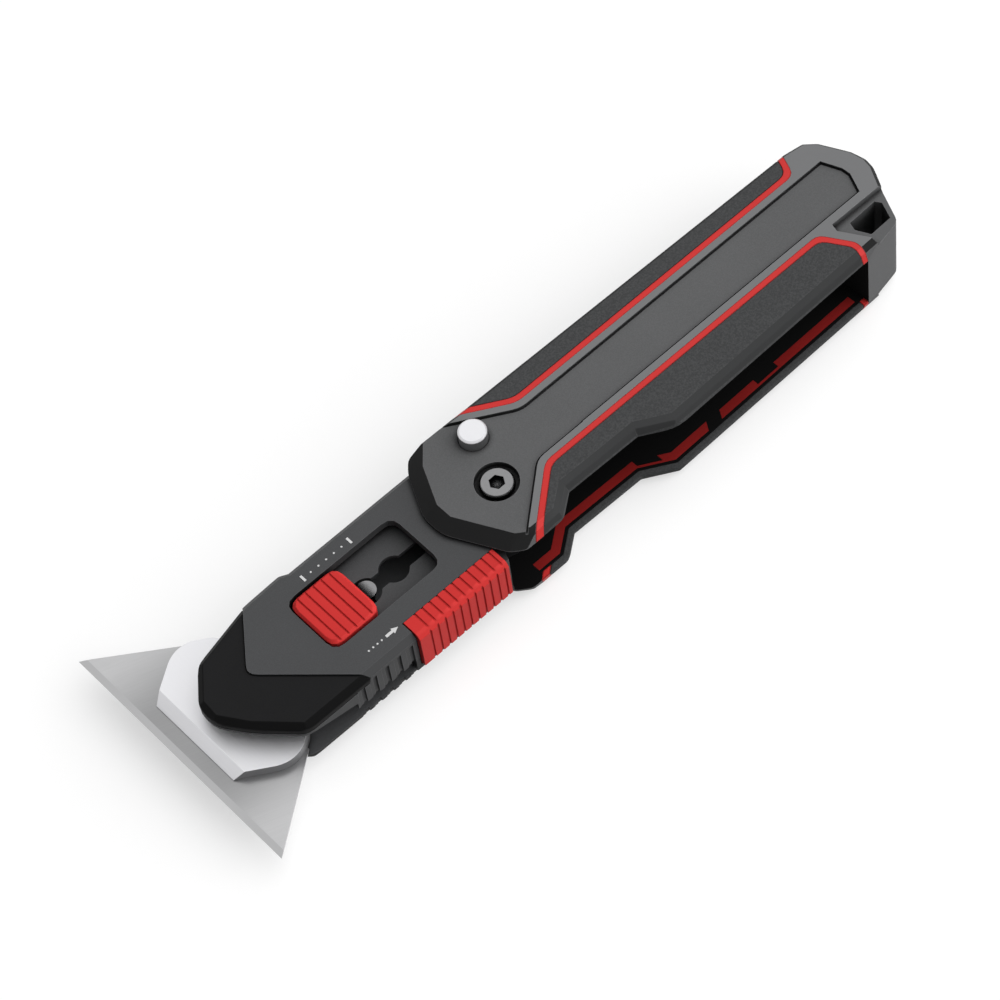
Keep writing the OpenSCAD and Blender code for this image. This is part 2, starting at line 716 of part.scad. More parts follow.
module flank_grooves(z0, z1, y0) {
    for (i = [0 : groove_count - 1]) {
        x = -flank_slot_back - groove_w - i * groove_pitch;
        block(x, x + groove_w, y0 - over, y0 + groove_d, z0, z1);
        block(x - groove_w, x + fit_gap, y0 - over, y0 + groove_d / 2, z0, z1);
    }
}
groove_w = 0.9;
groove_d = 0.5;
core_gap = 0.05;
nose_floor_z = nose_rim_z - head_wall / 2;
nose_floor_x = in_head([0.70, 0])[0];
// Room for the nose cover: its top, and its rim round the floor of the nose
module nose_core_cut() {
    prism(nose_zone_line(0), ceiling_z - slide_gap, head_z1 + over);
    difference() {
        prism(nose_zone_line(0), nose_rim_z - core_gap, ceiling_z);
        prism(inset(head_outline, head_wall + core_gap), 0, handle_t);
    }
}
function nose_zone_line(d) = soften(inset(nose_zone(), d), nose_zone_soft_shares * head_w);
module head_form(low_z, top_z) {
    difference() {
        intersection() {
            loft([
                [low_z - over, head_outline],
                [top_z - head_chamfer, head_outline],
                [top_z + lid, inset(head_outline, head_chamfer + lid)]
            ]);
            block(-2 * head_reach, head_reach, -head_w, head_w, low_z, top_z);
        }
        round_corners(head_outline, head_cuts, low_z - over, top_z + over);
    }
}
head_screw_shares = [[0.144, 0.80], [0.144, 0.24]];
head_screw_at = [for (p = head_screw_shares) in_head(p)];
head_screw_l = 9;
strip_t = 1.2;
strip_proud = 0.15;
strip_z = head_z1 + strip_proud - strip_t;
slider_low_z = 6.0;
slider_out = 0.9;
slider_y = -head_low - slider_out + slider_t;
slider_ridge = 0.6;
// Plain length at each end of the slider
rib_start = 2.8;
rib_end = 1.1;
rib_pitch = (slider_l - rib_start - rib_end) / (rib_count - 1);
// Room for the slider on the flank and on the face, with its travel
module slider_bay() {
    block(-slider_back - slider_l - slide_gap, -slider_back + rotate_travel + slide_gap, -head_w,
        slider_y + fit_gap, slider_low_z - slide_gap, handle_t);
    block(-slider_back - slider_l - slide_gap, -slider_back + rotate_travel + slide_gap, -head_w,
        slider_y - slider_t + slider_strip_w + fit_gap, strip_z - fit_gap, handle_t);
}
ledge_w = 1.6;
latch_w = 2.4;
latch_y = -head_low + head_wall + 2 * fit_gap;
tab_l = 6;
tab_x = -slider_back - slider_l / 2;
module head_front_shell() {
    color(scale_colour) difference() {
        union() {
            difference() {
                head_form(slot_z, head_z1);
                head_cavity(0, ceiling_z);
            }
            // Floor of the nose, under the nose cover
            intersection() {
                prism(inset(head_outline, head_wall / 2), nose_floor_z, ceiling_z + fit_gap);
                block(-2 * head_reach, nose_floor_x, -head_w, head_w, 0, handle_t);
            }
            // Ledges that hold the guide plate
            for (s = [0, 1]) intersection() {
                head_cavity(guide_top_z, ceiling_z);
                block(-guide_front, -cavity_back, s == 0 ? -head_low : window_y + window_w / 2 + ledge_w / 2,
                    s == 0 ? window_y - window_w / 2 - ledge_w : head_w, 0, handle_t);
            }
        }
        nose_core_cut();
        tang_relief();
        side_slots();
        rod(barrel_r + run_clear, 0, handle_t);
        translate([-window_back - window_l / 2, window_y, ceiling_z - over])
            rounded_block(window_l, window_w, handle_t, window_soft);
        flank_grooves(0, head_z1 - head_chamfer - groove_w, -head_low);
        slider_bay();
        // Slot for the slider's tab
        block(tab_x - tab_l / 2 - slide_gap, tab_x + tab_l / 2 + rotate_travel + slide_gap,
            -head_w, -head_low + 2 * head_wall, carriage_z - fit_gap, carriage_top_z + fit_gap);
        screw_holes(head_screw_at, head_z0, head_screw_l);
    }
}
window_soft = 2.6;
module rounded_block(l, w, h, r) {
    linear_extrude(h) polygon(soften([[-l / 2, -w / 2], [l / 2, -w / 2], [l / 2, w / 2], [-l / 2, w / 2]],
        same(4, r)));
}
// Turns a front form of the head into its twin on the back
module to_head_back() {
    translate([0, 0, head_z0 + head_z1]) mirror([0, 0, 1]) children();
}
module head_back_shell() {
    color(scale_colour) difference() {
        union() {
            difference() {
                to_head_back() head_form(head_z0 + head_z1 - slot_z, head_z1);
                head_cavity(floor_z, handle_t);
            }
        }
        tang_relief();
        side_slots();
        rod(barrel_r + run_clear, 0, handle_t);
        flank_grooves(0, handle_t, -head_low);
        slider_bay();
        screw_holes(head_screw_at, head_z0, head_screw_l);
    }
}
module nose_cover() {
    color(black_colour) difference() {
        intersection() {
            head_form(nose_rim_z, nose_top_z);
            prism(nose_zone_line(core_gap), 0, handle_t);
        }
        prism(inset(head_outline, head_wall), 0, ceiling_z - slide_gap + core_gap);
    }
}
guide_front = turn_reach - holder_r - 2 * fit_gap;
guide_x0 = window_back + window_l - button_gap - button_l;
guide_pin_x = guide_x0 - 1.6;
module guide_plate() {
    color(scale_colour) difference() {
        intersection() {
            prism(inset(head_outline, head_wall + fit_gap), guide_z, guide_top_z);
            block(-guide_front, -cavity_back - fit_gap, -head_w, head_w, 0, handle_t);
        }
        block(-guide_front + ledge_w, over, window_y - guide_slot_w / 2, window_y + guide_slot_w / 2,
            0, handle_t);
        rod(guide_round_r, 0, handle_t, [-guide_pin_x, window_y]);
        rod(guide_round_r, 0, handle_t, [-guide_pin_x + guide_step, window_y]);
    }
}
module head_screws() { color(steel_colour) screw_set(head_screw_at, head_z0, head_screw_l); }

// Mode slide
pin_head_r = 2.1;
pin_head_h = 0.5;
stem_l = 6;
button_low_z = guide_top_z + slide_gap + pin_head_h + fit_gap;
button_top_z = head_z1 + button_proud;
button_mid_x = -window_back - window_l + button_gap + button_l / 2;
button_groove_w = 0.4;
button_groove_d = 0.35;
button_soft = 2.4;
button_crown = 0.5;
module mode_button() {
    color(trim_colour) translate([button_mid_x, window_y, 0]) difference() {
        loft([
            [button_low_z, button_ring(0)], [button_top_z - button_crown, button_ring(0)],
            [button_top_z, button_ring(button_crown)]
        ]);
        for (i = [1 : button_grooves]) {
            x = -button_l / 2 + i * button_l / (button_grooves + 1);
            block(x - button_groove_w / 2, x + button_groove_w / 2, -button_w, button_w,
                button_top_z - button_groove_d, handle_t);
        }
    }
}
function button_ring(d) = soften(inset([[-button_l / 2, -button_w / 2], [button_l / 2, -button_w / 2],
    [button_l / 2, button_w / 2], [-button_l / 2, button_w / 2]], d), same(4, button_soft));
turn_x = -turn_reach;
carriage_nose_r = 5;
carriage_half = 7;
carriage_back_x = button_mid_x + button_l / 2 + pin_head_r;
module carriage() {
    color(steel_colour) difference() {
        union() {
            rod(carriage_nose_r, carriage_z, carriage_top_z, [turn_x, turn_y]);
            prism([
                [turn_x, turn_y - carriage_nose_r], [button_mid_x - button_l / 2, window_y - carriage_half],
                [carriage_back_x, window_y - carriage_half], [carriage_back_x, window_y + carriage_half],
                [button_mid_x - button_l / 2, window_y + carriage_half], [turn_x, turn_y + carriage_nose_r]
            ], carriage_z, carriage_top_z);
            block(button_mid_x - stem_l / 2, button_mid_x + stem_l / 2, window_y - guide_slot_w / 2 + fit_gap,
                window_y + guide_slot_w / 2 - fit_gap, carriage_top_z - fit_gap, button_low_z);
        }
        rod(turn_rivet_r + run_clear, 0, handle_t, [turn_x, turn_y]);
        rod(turn_head_r + fit_gap, carriage_top_z - turn_head_h - run_clear, handle_t, [turn_x, turn_y]);
        rod(guide_slot_w / 2 - slide_gap, carriage_z - over, handle_t, [-guide_pin_x, window_y]);
    }
}
module guide_pin() {
    color(steel_colour) {
        rod(guide_slot_w / 2 - slide_gap, carriage_z, guide_top_z + slide_gap, [-guide_pin_x, window_y]);
        rod(pin_head_r, guide_top_z + slide_gap - fit_gap, guide_top_z + slide_gap + pin_head_h - fit_gap,
            [-guide_pin_x, window_y]);
    }
}

// Rotate slider: a cap over the head's flank, with a tab that goes in to the latch
module rotate_slider() {
    color(trim_colour) difference() {
        union() {
            translate([-slider_back, slider_y - slider_t, 0]) rotate([90, 0, -90]) linear_extrude(slider_l)
                polygon([
                    [-slider_t, slider_low_z], [0, slider_low_z], [0, strip_z + strip_t - 2 * slider_ridge],
                    [-slider_ridge, strip_z + strip_t - slider_ridge / 2],
                    [-2 * slider_ridge, strip_z + strip_t], [-slider_strip_w, strip_z + strip_t],
                    [-slider_strip_w, strip_z], [-slider_t, strip_z]
                ]);
            block(tab_x - tab_l / 2, tab_x + tab_l / 2, slider_y - fit_gap, latch_y,
                carriage_z, carriage_top_z);
        }
        for (i = [1 : rib_count]) {
            x = -slider_back - rib_end - (rib_count - i) * rib_pitch;
            block(x - rib_groove_w / 2, x + rib_groove_w / 2, -head_w,
                slider_y - slider_t + rib_depth, 0, handle_t);
            block(x - rib_groove_w / 2, x + rib_groove_w / 2, -head_w, 0,
                strip_z + strip_t - rib_depth, handle_t);
        }
    }
}
latch_back = cavity_back + fit_gap;
latch_gap = 2;
latch_front = guide_front - latch_gap;
module rotate_latch() {
    color(steel_colour)
        block(-latch_front, -latch_back - rotate_travel, latch_y, latch_y + latch_w,
            carriage_z, carriage_top_z);
}

// Blade and holder, turning about the turn axis
// Half outline of the holder behind its front edge, as shares of the holder's radius
holder_shares = [
    [-0.45, 0.74], [-0.12, 0.96], [0.02, 1.00], [0.19, 0.98], [0.43, 0.815], [0.53, 0.60], [0.55, 0.30]
];
holder_step = 0.25;
function holder_half_line(r) = [for (p = holder_shares) p * r];
function holder_shape(front, half, r) = soften(concat(
    [[-front, half], [-front, -half]],
    [for (p = holder_half_line(r)) [p[0], -p[1]]],
    [for (i = [len(holder_shares) - 1 : -1 : 0]) holder_half_line(r)[i]]
), concat([0, 0, 0], same(2 * len(holder_shares) - 2, holder_soft), [0]));
holder_soft = 1.2;
module holder_front_plate() {
    color(bright_colour) translate([turn_x, turn_y, 0]) difference() {
        prism(holder_shape(holder_front, holder_half, holder_r), holder_z, holder_top_z);
        translate([-holder_front, 0, holder_z]) rotate([90, 0, 0]) translate([0, 0, -holder_r])
            linear_extrude(2 * holder_r) polygon([[-over, holder_step - over], [0, holder_step],
                [holder_t - holder_step, holder_t], [holder_t, holder_t + over], [-over, holder_t + over]]);
        rod(turn_rivet_r + run_clear, holder_z + rivet_floor, handle_t);
        for (s = [-1, 1]) rod(plate_rivet_r + run_clear, 0, handle_t, [plate_rivet_x, s * plate_rivet_y]);
    }
}
rivet_floor = 0.8;
plate_rivet_r = 1.5;
plate_rivet_x = 6.8;
plate_rivet_y = 7.5;
turn_head_r = turn_rivet_r + 0.9;
turn_head_h = 0.8;
module holder_back_plate() {
    color(steel_colour) translate([turn_x, turn_y, 0]) difference() {
        prism(holder_shape(holder_front - over, holder_half, holder_r - slide_gap), holder_back_z, blade_z);
        for (s = [-1, 1]) rod(plate_rivet_r + run_clear, 0, handle_t, [plate_rivet_x, s * plate_rivet_y]);
    }
}
module holder_rivets() {
    color(steel_colour) translate([turn_x, turn_y, 0])
        for (s = [-1, 1]) rod(plate_rivet_r, holder_back_z, holder_top_z, [plate_rivet_x, s * plate_rivet_y]);
}
module turn_rivet() {
    color(steel_colour) translate([turn_x, turn_y, 0]) {
        rod(turn_rivet_r, holder_z + rivet_floor, carriage_top_z);
        rod(turn_head_r, carriage_top_z - turn_head_h, carriage_top_z);
    }
}
notch_w = 3;
notch_d = 2.2;
notch_y = 6.5;
module blade() {
    color(steel_colour) translate([-edge_reach, turn_y, 0]) difference() {
        intersection() {
            prism([
                [0, -blade_l / 2], [blade_w, -blade_back_l / 2], [blade_w, blade_back_l / 2], [0, blade_l / 2]
            ], blade_z, holder_z);
            translate([0, blade_l, 0]) rotate([90, 0, 0]) linear_extrude(2 * blade_l) polygon([
                [0, blade_z + blade_t / 2], [blade_grind, blade_z], [blade_w, blade_z], [blade_w, holder_z],
                [blade_grind, holder_z]
            ]);
        }
        for (s = [-1, 1])
            block(blade_w - notch_d, blade_w + over, s * notch_y - notch_w / 2, s * notch_y + notch_w / 2,
                blade_z - over, holder_z + over);
    }
}

front_scale();
back_scale();
front_upper_pad();
front_lower_pad();
back_upper_pad();
back_lower_pad();
front_upper_trim();
front_lower_trim();
back_upper_trim();
back_lower_trim();
front_liner();
back_liner();
backspacer();
scale_screws();
pivot_screw();
pivot_barrel();
pivot_washers();
lock_button();
lock_spring();
head_front_shell();
head_back_shell();
nose_cover();
guide_plate();
head_screws();
mode_button();
carriage();
guide_pin();
rotate_slider();
rotate_latch();
holder_front_plate();
holder_back_plate();
holder_rivets();
turn_rivet();
blade();
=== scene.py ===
"""Dresses the folding blade scraper: rounded edges, finishes, printed marks, and the studio."""

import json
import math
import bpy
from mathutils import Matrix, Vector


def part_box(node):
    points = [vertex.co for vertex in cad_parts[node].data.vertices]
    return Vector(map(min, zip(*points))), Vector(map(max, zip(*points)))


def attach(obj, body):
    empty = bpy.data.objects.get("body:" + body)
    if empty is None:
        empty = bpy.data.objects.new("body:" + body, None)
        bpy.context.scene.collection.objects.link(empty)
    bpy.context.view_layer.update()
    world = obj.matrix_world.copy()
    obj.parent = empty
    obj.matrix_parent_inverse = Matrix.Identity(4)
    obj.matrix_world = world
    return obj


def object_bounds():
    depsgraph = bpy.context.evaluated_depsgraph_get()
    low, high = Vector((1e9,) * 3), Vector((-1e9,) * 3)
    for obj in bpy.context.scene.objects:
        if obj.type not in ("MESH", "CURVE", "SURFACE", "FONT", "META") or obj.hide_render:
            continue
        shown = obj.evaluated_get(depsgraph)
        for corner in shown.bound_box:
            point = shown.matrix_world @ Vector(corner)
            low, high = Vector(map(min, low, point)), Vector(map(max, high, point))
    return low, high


bl_info = {
    "name": "Folding Blade Scraper",
    "version": (1, 0, 0),
    "blender": (4, 5, 0),
    "location": "View3D > Sidebar > Scraper",
    "description": "Rounded edges, grained plastics, ground steel and a studio for a folding blade scraper",
    "category": "Object",
}

import bmesh
import bpy
from bpy.props import FloatProperty, FloatVectorProperty, IntProperty, PointerProperty
from mathutils import Matrix, Vector

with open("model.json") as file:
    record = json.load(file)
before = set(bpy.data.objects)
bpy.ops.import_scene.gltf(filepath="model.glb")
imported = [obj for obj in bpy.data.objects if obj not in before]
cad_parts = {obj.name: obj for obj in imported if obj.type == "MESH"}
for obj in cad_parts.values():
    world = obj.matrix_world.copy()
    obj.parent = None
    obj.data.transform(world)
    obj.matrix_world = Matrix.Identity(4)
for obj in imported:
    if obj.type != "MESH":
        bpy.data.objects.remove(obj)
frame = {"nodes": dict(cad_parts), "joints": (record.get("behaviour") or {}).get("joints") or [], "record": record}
CAD_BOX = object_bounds()
MM = 0.001

# Material slot of each node
SLOT_OF = {row["node"]: row["material_slot"] for row in frame["record"]["subparts"]}

# Nodes with a finish other than their slot's own
FINISH_OF = {
    "head_front_shell": "head_grey",
    # The back shell takes a copy of the head grey with more painted shade on its bevels and walls
    "head_back_shell": "head_back_grey_shaded",
    "guide_plate": "head_grey",
    # The liners take a darker red as painted shade inside the handle
    "front_liner": "shaded_liner_red",
    "back_liner": "shaded_liner_red",
    "front_upper_trim": "trim_red",
    "front_lower_trim": "trim_red",
    "back_upper_trim": "trim_red",
    "back_lower_trim": "trim_red",
}

# Width of the rounded edge of each node that has one, in millimetres
EDGE_WIDTHS = {
    "front_scale": 0.22,
    "back_scale": 0.22,
    "front_upper_pad": 0.30,
    "front_lower_pad": 0.30,
    "back_upper_pad": 0.30,
    "back_lower_pad": 0.30,
    "front_upper_trim": 0.16,
    "front_lower_trim": 0.16,
    "back_upper_trim": 0.16,
    "back_lower_trim": 0.16,
    "front_liner": 0.10,
    "back_liner": 0.10,
    "backspacer": 0.25,
    "head_front_shell": 0.20,
    "head_back_shell": 0.20,
    "nose_cover": 0.25,
    "mode_button": 0.08,
    "rotate_slider": 0.07,
    "holder_front_plate": 0.12,
    "holder_back_plate": 0.10,
    "lock_button": 0.18,
    "pivot_screw": 0.12,
    "carriage": 0.10,
    "guide_plate": 0.08,
}

# Planes of the handle: inside of the back scale, inside of the front scale, outside of the front scale
HANDLE_PLANES = (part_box("backspacer")[0].z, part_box("backspacer")[1].z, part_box("front_scale")[1].z)
# How far the near-black lining, painted shade inside the handle, goes past the inner faces, how far the pale rims,
# a painted highlight, go down from the outer ones, and how far the lining stops short of the trim's end
LINING_MARGIN = 0.05 * MM
RIM_DEPTH = 0.25 * MM
LINING_GAP = 0.2 * MM


def scraper():
    """The settings of this scene."""
    return bpy.context.scene.scraper_settings


# ---------------------------------------------------------------- settings


class FinishSettings(bpy.types.PropertyGroup):
    """Colours of the finishes, and the size of their grain"""

    grey: FloatVectorProperty(
        name="Scale grey",
        description="Colour of the handle's scales",
        subtype="COLOR",
        default=(0.098, 0.099, 0.101),
        min=0,
        max=1,
    )
    head_grey: FloatVectorProperty(
        name="Head grey",
        description="Colour of the head's shells and of the guide plate",
        subtype="COLOR",
        default=(0.053, 0.054, 0.056),
        min=0,
        max=1,
    )
    grip: FloatVectorProperty(
        name="Grip rubber",
        description="Colour of the pads on the handle",
        subtype="COLOR",
        default=(0.046, 0.047, 0.048),
        min=0,
        max=1,
    )
    # The liners take a darker copy of this red as painted shade inside the handle
    red: FloatVectorProperty(
        name="Red plastic",
        description="Colour of the trims, the mode button and the slider; the liners are darker",
        subtype="COLOR",
        default=(0.56, 0.032, 0.030),
        min=0,
        max=1,
    )
    black: FloatVectorProperty(
        name="Black plastic",
        description="Colour of the nose cover and the spine bar",
        subtype="COLOR",
        default=(0.0125, 0.0125, 0.013),
        min=0,
        max=1,
    )
    steel: FloatVectorProperty(
        name="Blade steel",
        description="Colour of the blade",
        subtype="COLOR",
        default=(0.42, 0.42, 0.425),
        min=0,
        max=1,
    )
    bright: FloatVectorProperty(
        name="Bright steel",
        description="Colour of the holder plates and the lock button",
        subtype="COLOR",
        default=(0.79, 0.79, 0.81),
        min=0,
        max=1,
    )
    plated: FloatVectorProperty(
        name="Plated steel",
        description="Colour of the pivot, the pins and rivets, the spring, the latch and the carriage",
        subtype="COLOR",
        default=(0.28, 0.28, 0.285),
        min=0,
        max=1,
    )
    dark: FloatVectorProperty(
        name="Dark steel",
        description="Colour of the scale screws and the head screws",
        subtype="COLOR",
        default=(0.10, 0.10, 0.105),
        min=0,
        max=1,
    )
    ink: FloatVectorProperty(
        name="Print white",
        description="Colour of the printed marks",
        subtype="COLOR",
        default=(0.68, 0.68, 0.68),
        min=0,
        max=1,
    )
    thin_ink: FloatVectorProperty(
        name="Thin print",
        description="Colour of the printed marks where the ink is thinner",
        subtype="COLOR",
        default=(0.52, 0.52, 0.52),
        min=0,
        max=1,
    )
    grain: FloatProperty(
        name="Grain size",
        description="Size of the moulded grain on the plastics",
        subtype="DISTANCE",
        default=0.22 * MM,
        min=0.05 * MM,
        max=1 * MM,
    )


class EdgeSettings(bpy.types.PropertyGroup):
    """How the edges of the CAD nodes are rounded and shaded"""

    share: FloatProperty(
        name="Edge share",
        description="How much of each node's full edge width is rounded",
        default=1.0,
        min=0.1,
        max=1.5,
    )
    segments: IntProperty(
        name="Segments",
        description="Segments across a rounded edge",
        default=2,
        min=1,
        max=4,
    )
    smooth_angle: FloatProperty(
        name="Smooth angle",
        description="Faces that meet at less than this are shaded as one",
        subtype="ANGLE",
        default=math.radians(34),
        min=math.radians(10),
        max=math.radians(80),
    )
    crisp_angle: FloatProperty(
        name="Crisp angle",
        description="The same for the blade, whose grinds meet at a small angle",
        subtype="ANGLE",
        default=math.radians(4),
        min=math.radians(1),
        max=math.radians(30),
    )
    angle: FloatProperty(
        name="Edge angle",
        description="Edges sharper than this are rounded",
        subtype="ANGLE",
        default=math.radians(24),
        min=math.radians(10),
        max=math.radians(80),
    )
    flat_angle: FloatProperty(
        name="Flat angle",
        description="Faces that meet at less than this are joined into one",
        subtype="ANGLE",
        default=math.radians(0.5),
        min=0,
        max=math.radians(5),
    )
    weld: FloatProperty(
        name="Weld distance",
        description="Corners nearer to each other than this are joined",
        subtype="DISTANCE",
        default=0.002 * MM,
        min=0,
        max=0.1 * MM,
    )
    large_faces: IntProperty(
        name="Large faces",
        description="How much more the shading follows large faces than small ones, where 50 is neutral",
        default=60,
        min=1,
        max=100,
    )


class MarkSettings(bpy.types.PropertyGroup):
    """Sizes and places of the printed marks"""

    arrow_length: FloatProperty(
        name="Arrow length",
        description="Length of the printed arrow beside the slider",
        subtype="DISTANCE",
        default=3.1 * MM,
        min=1 * MM,
        max=8 * MM,
    )
    arrow_width: FloatProperty(
        name="Arrow width",
        description="Width of the arrow's head",
        subtype="DISTANCE",
        default=1.4 * MM,
        min=0.5 * MM,
        max=4 * MM,
    )
    arrow_gap: FloatProperty(
        name="Arrow gap",
        description="Distance of the arrow's tip from the slider's front end",
        subtype="DISTANCE",
        default=1.2 * MM,
        min=0,
        max=5 * MM,
    )
    arrow_rise: FloatProperty(
        name="Arrow rise",
        description="Distance of the arrow's middle line from the slider's inner edge, across the head",
        subtype="DISTANCE",
        default=0.2 * MM,
        min=0,
        max=3 * MM,
    )
    tick_length: FloatProperty(
        name="Tick length",
        description="Length of the ticks beside the window",
        subtype="DISTANCE",
        default=1.6 * MM,
        min=0.5 * MM,
        max=4 * MM,
    )
    tick_width: FloatProperty(
        name="Tick width",
        description="Width of the ticks beside the window",
        subtype="DISTANCE",
        default=0.5 * MM,
        min=0.2 * MM,
        max=1 * MM,
    )
    tick_gap: FloatProperty(
        name="Tick gap",
        description="Distance of the ticks from the mode button, across the head",
        subtype="DISTANCE",
        default=1.7 * MM,
        min=0.5 * MM,
        max=4 * MM,
    )
    dot_size: FloatProperty(
        name="Dot size",
        description="Width of the dots between the ticks and of those that lead to the arrow",
        subtype="DISTANCE",
        default=0.42 * MM,
        min=0.2 * MM,
        max=1 * MM,
    )
    dot_pitch: FloatProperty(
        name="Dot pitch",
        description="Distance from middle to middle of the dots that lead to the arrow",
        subtype="DISTANCE",
        default=1.1 * MM,
        min=0.5 * MM,
        max=3 * MM,
    )
    thickness: FloatProperty(
        name="Print thickness",
        description="How far a printed mark stands proud",
        subtype="DISTANCE",
        default=0.03 * MM,
        min=0.01 * MM,
        max=0.2 * MM,
    )


class StageSettings(bpy.types.PropertyGroup):
    """The camera, the light and the floor"""

    azimuth: FloatProperty(
        name="Azimuth",
        description="Direction that the camera looks in, round the vertical",
        subtype="ANGLE",
        default=math.radians(-34.40),
    )
    elevation: FloatProperty(
        name="Elevation",
        description="Height of the camera above the horizon",
        subtype="ANGLE",
        default=math.radians(57.10),
    )
    roll: FloatProperty(
        name="Roll",
        description="Turn of the camera about its own axis",
        subtype="ANGLE",
        default=math.radians(9.83),
    )
    place: FloatVectorProperty(
        name="Camera place",
        description="Where the camera stands",
        subtype="TRANSLATION",
        default=(-223.89 * MM, -326.99 * MM, 625.38 * MM),
    )
    lens: FloatProperty(
        name="Lens",
        description="Focal length in millimetres on a 36 mm sensor",
        default=133.8,
        min=20,
        max=300,
    )
    ambient: FloatProperty(
        name="Ambient",
        description="Light from all round, where a plain white room is 1",
        default=0.07,
        min=0,
        max=2,
    )
    sky: FloatProperty(
        name="Sky",
        description="Light from the bright side of the studio, where a plain white room is 1",
        default=2.25,
        min=0,
        max=4,
    )
    sky_side: FloatVectorProperty(
        name="Bright side",
        description="Direction of the middle of the studio's bright side",
        subtype="XYZ",
        default=(1.0, -0.65, 1.0),
    )
    sky_edge: FloatProperty(
        name="Bright side's edge",
        description="Cosine of the angle from its middle where the bright side has faded away",
        default=0.25,
        min=-1,
        max=1,
    )
    sky_core: FloatProperty(
        name="Bright side's core",
        description="Cosine of the angle from its middle inside which the bright side is full",
        default=0.90,
        min=-1,
        max=1,
    )
    floor: FloatVectorProperty(
        name="Floor",
        description="Colour of the floor",
        subtype="COLOR",
        default=(0.48, 0.48, 0.48),
        min=0,
        max=1,
    )
    floor_half: FloatProperty(
        name="Floor half width",
        description="Distance from the floor's middle to its sides",
        subtype="DISTANCE",
        default=2.5,
        min=0.5,
        max=10,
    )
    floor_drop: FloatProperty(
        name="Floor drop",
        description="How far the floor lies below the tool",
        subtype="DISTANCE",
        default=0.2 * MM,
        min=0,
        max=5 * MM,
    )
    glow: FloatProperty(
        name="Floor white",
        description="White that the floor shows of its own, where 1 is white without a shadow",
        default=0.52,
        min=0,
        max=1,
    )
    lamp_place: FloatVectorProperty(
        name="Lamp place",
        description="Where the side lamp stands, turned toward the frame's origin",
        subtype="TRANSLATION",
        default=(0.62, -0.50, 0.50),
    )
    lamp_length: FloatProperty(
        name="Lamp length",
        description="Length of the side lamp",
        subtype="DISTANCE",
        default=0.8,
        min=0.05,
        max=3,
    )
    lamp_width: FloatProperty(
        name="Lamp width",
        description="Width of the side lamp",
        subtype="DISTANCE",
        default=0.4,
        min=0.05,
        max=3,
    )
    lamp_power: FloatProperty(
        name="Lamp power",
        description="Power of the side lamp",
        unit="POWER",
        default=1.2,
        min=0,
        max=50,
    )


class ScraperSettings(bpy.types.PropertyGroup):
    """All settings of the scraper"""

    finish: PointerProperty(type=FinishSettings)
    edges: PointerProperty(type=EdgeSettings)
    marks: PointerProperty(type=MarkSettings)
    stage: PointerProperty(type=StageSettings)


# ---------------------------------------------------------------- shader nodes

# Colour sockets of a Mix node, which has other sockets of the same names
MIX_FIRST, MIX_SECOND, MIX_RESULT = 6, 7, 2
# Rays that the occlusion and bevel nodes send out for a mask
MASK_SAMPLES = 6


def feed(tree, socket, value):
    """Links a node's input to a socket, or sets it to a plain value."""
    if isinstance(value, bpy.types.NodeSocket):
        tree.links.new(value, socket)
    else:
        socket.default_value = value


def math_node(tree, operation, first, second=0.0):
    """A Math node fed by sockets or plain numbers."""
    node = tree.nodes.new("ShaderNodeMath")
    node.operation = operation
    feed(tree, node.inputs[0], first)
    feed(tree, node.inputs[1], second)
    return node.outputs[0]


def dot_node(tree, first, second):
    """How far two directions agree: 1 where they are the same."""
    node = tree.nodes.new("ShaderNodeVectorMath")
    node.operation = "DOT_PRODUCT"
    feed(tree, node.inputs[0], first)
    feed(tree, node.inputs[1], second)
    return node.outputs["Value"]


def split_node(tree, vector):
    """The X, Y and Z of a vector."""
    node = tree.nodes.new("ShaderNodeSeparateXYZ")
    tree.links.new(vector, node.inputs["Vector"])
    return node.outputs


def object_point(tree):
    """The place on the piece, in its own space."""
    return tree.nodes.new("ShaderNodeTexCoord").outputs["Object"]


def noise_node(tree, place, scale, detail, rough=0.5):
    """Noise at a place, or over the piece's whole box where the place is None."""
    node = tree.nodes.new("ShaderNodeTexNoise")
    feed(tree, node.inputs["Scale"], scale)
    node.inputs["Detail"].default_value = detail
    node.inputs["Roughness"].default_value = rough
    if place is not None:
        tree.links.new(place, node.inputs["Vector"])
    return node.outputs["Fac"]


def openness(tree, reach):
    """How much of the room within a reach is clear: 1 on an open face, less in a corner."""
    node = tree.nodes.new("ShaderNodeAmbientOcclusion")
    node.samples = MASK_SAMPLES
    feed(tree, node.inputs["Distance"], reach)
    return node.outputs["AO"]


def spread_to(tree, value, low=0.0, high=1.0, span=(0.0, 1.0), ease="LINEAR"):
    """Maps the values of a span to the range from low to high, and holds the others at its ends."""
    node = tree.nodes.new("ShaderNodeMapRange")
    node.interpolation_type = ease
    tree.links.new(value, node.inputs["Value"])
    feed(tree, node.inputs["From Min"], span[0])
    feed(tree, node.inputs["From Max"], span[1])
    node.inputs["To Min"].default_value = low
    node.inputs["To Max"].default_value = high
    return node.outputs["Result"]


def mix_colour(tree, share, first, second, blend="MIX"):
    """Mix of two plain colours or sockets by a mask."""
    node = tree.nodes.new("ShaderNodeMix")
    node.data_type, node.blend_type = "RGBA", blend
    feed(tree, node.inputs["Factor"], share)
    for socket, colour in ((node.inputs[MIX_FIRST], first), (node.inputs[MIX_SECOND], second)):
        feed(tree, socket, colour if isinstance(colour, bpy.types.NodeSocket) else (*colour, 1.0))
    return node.outputs[MIX_RESULT]


def shaded(colour, share):
    """A colour made darker or lighter."""
    return tuple(max(0.0, min(1.0, c * share)) for c in colour)


# ---------------------------------------------------------------- shader groups

# Values of the fine noise over which a speck of the grain comes up
SPECK_SPAN = (0.42, 0.62)
# Agreement of the rounded and the plain normal over which an edge comes up
EDGE_SPAN = (0.99, 0.80)
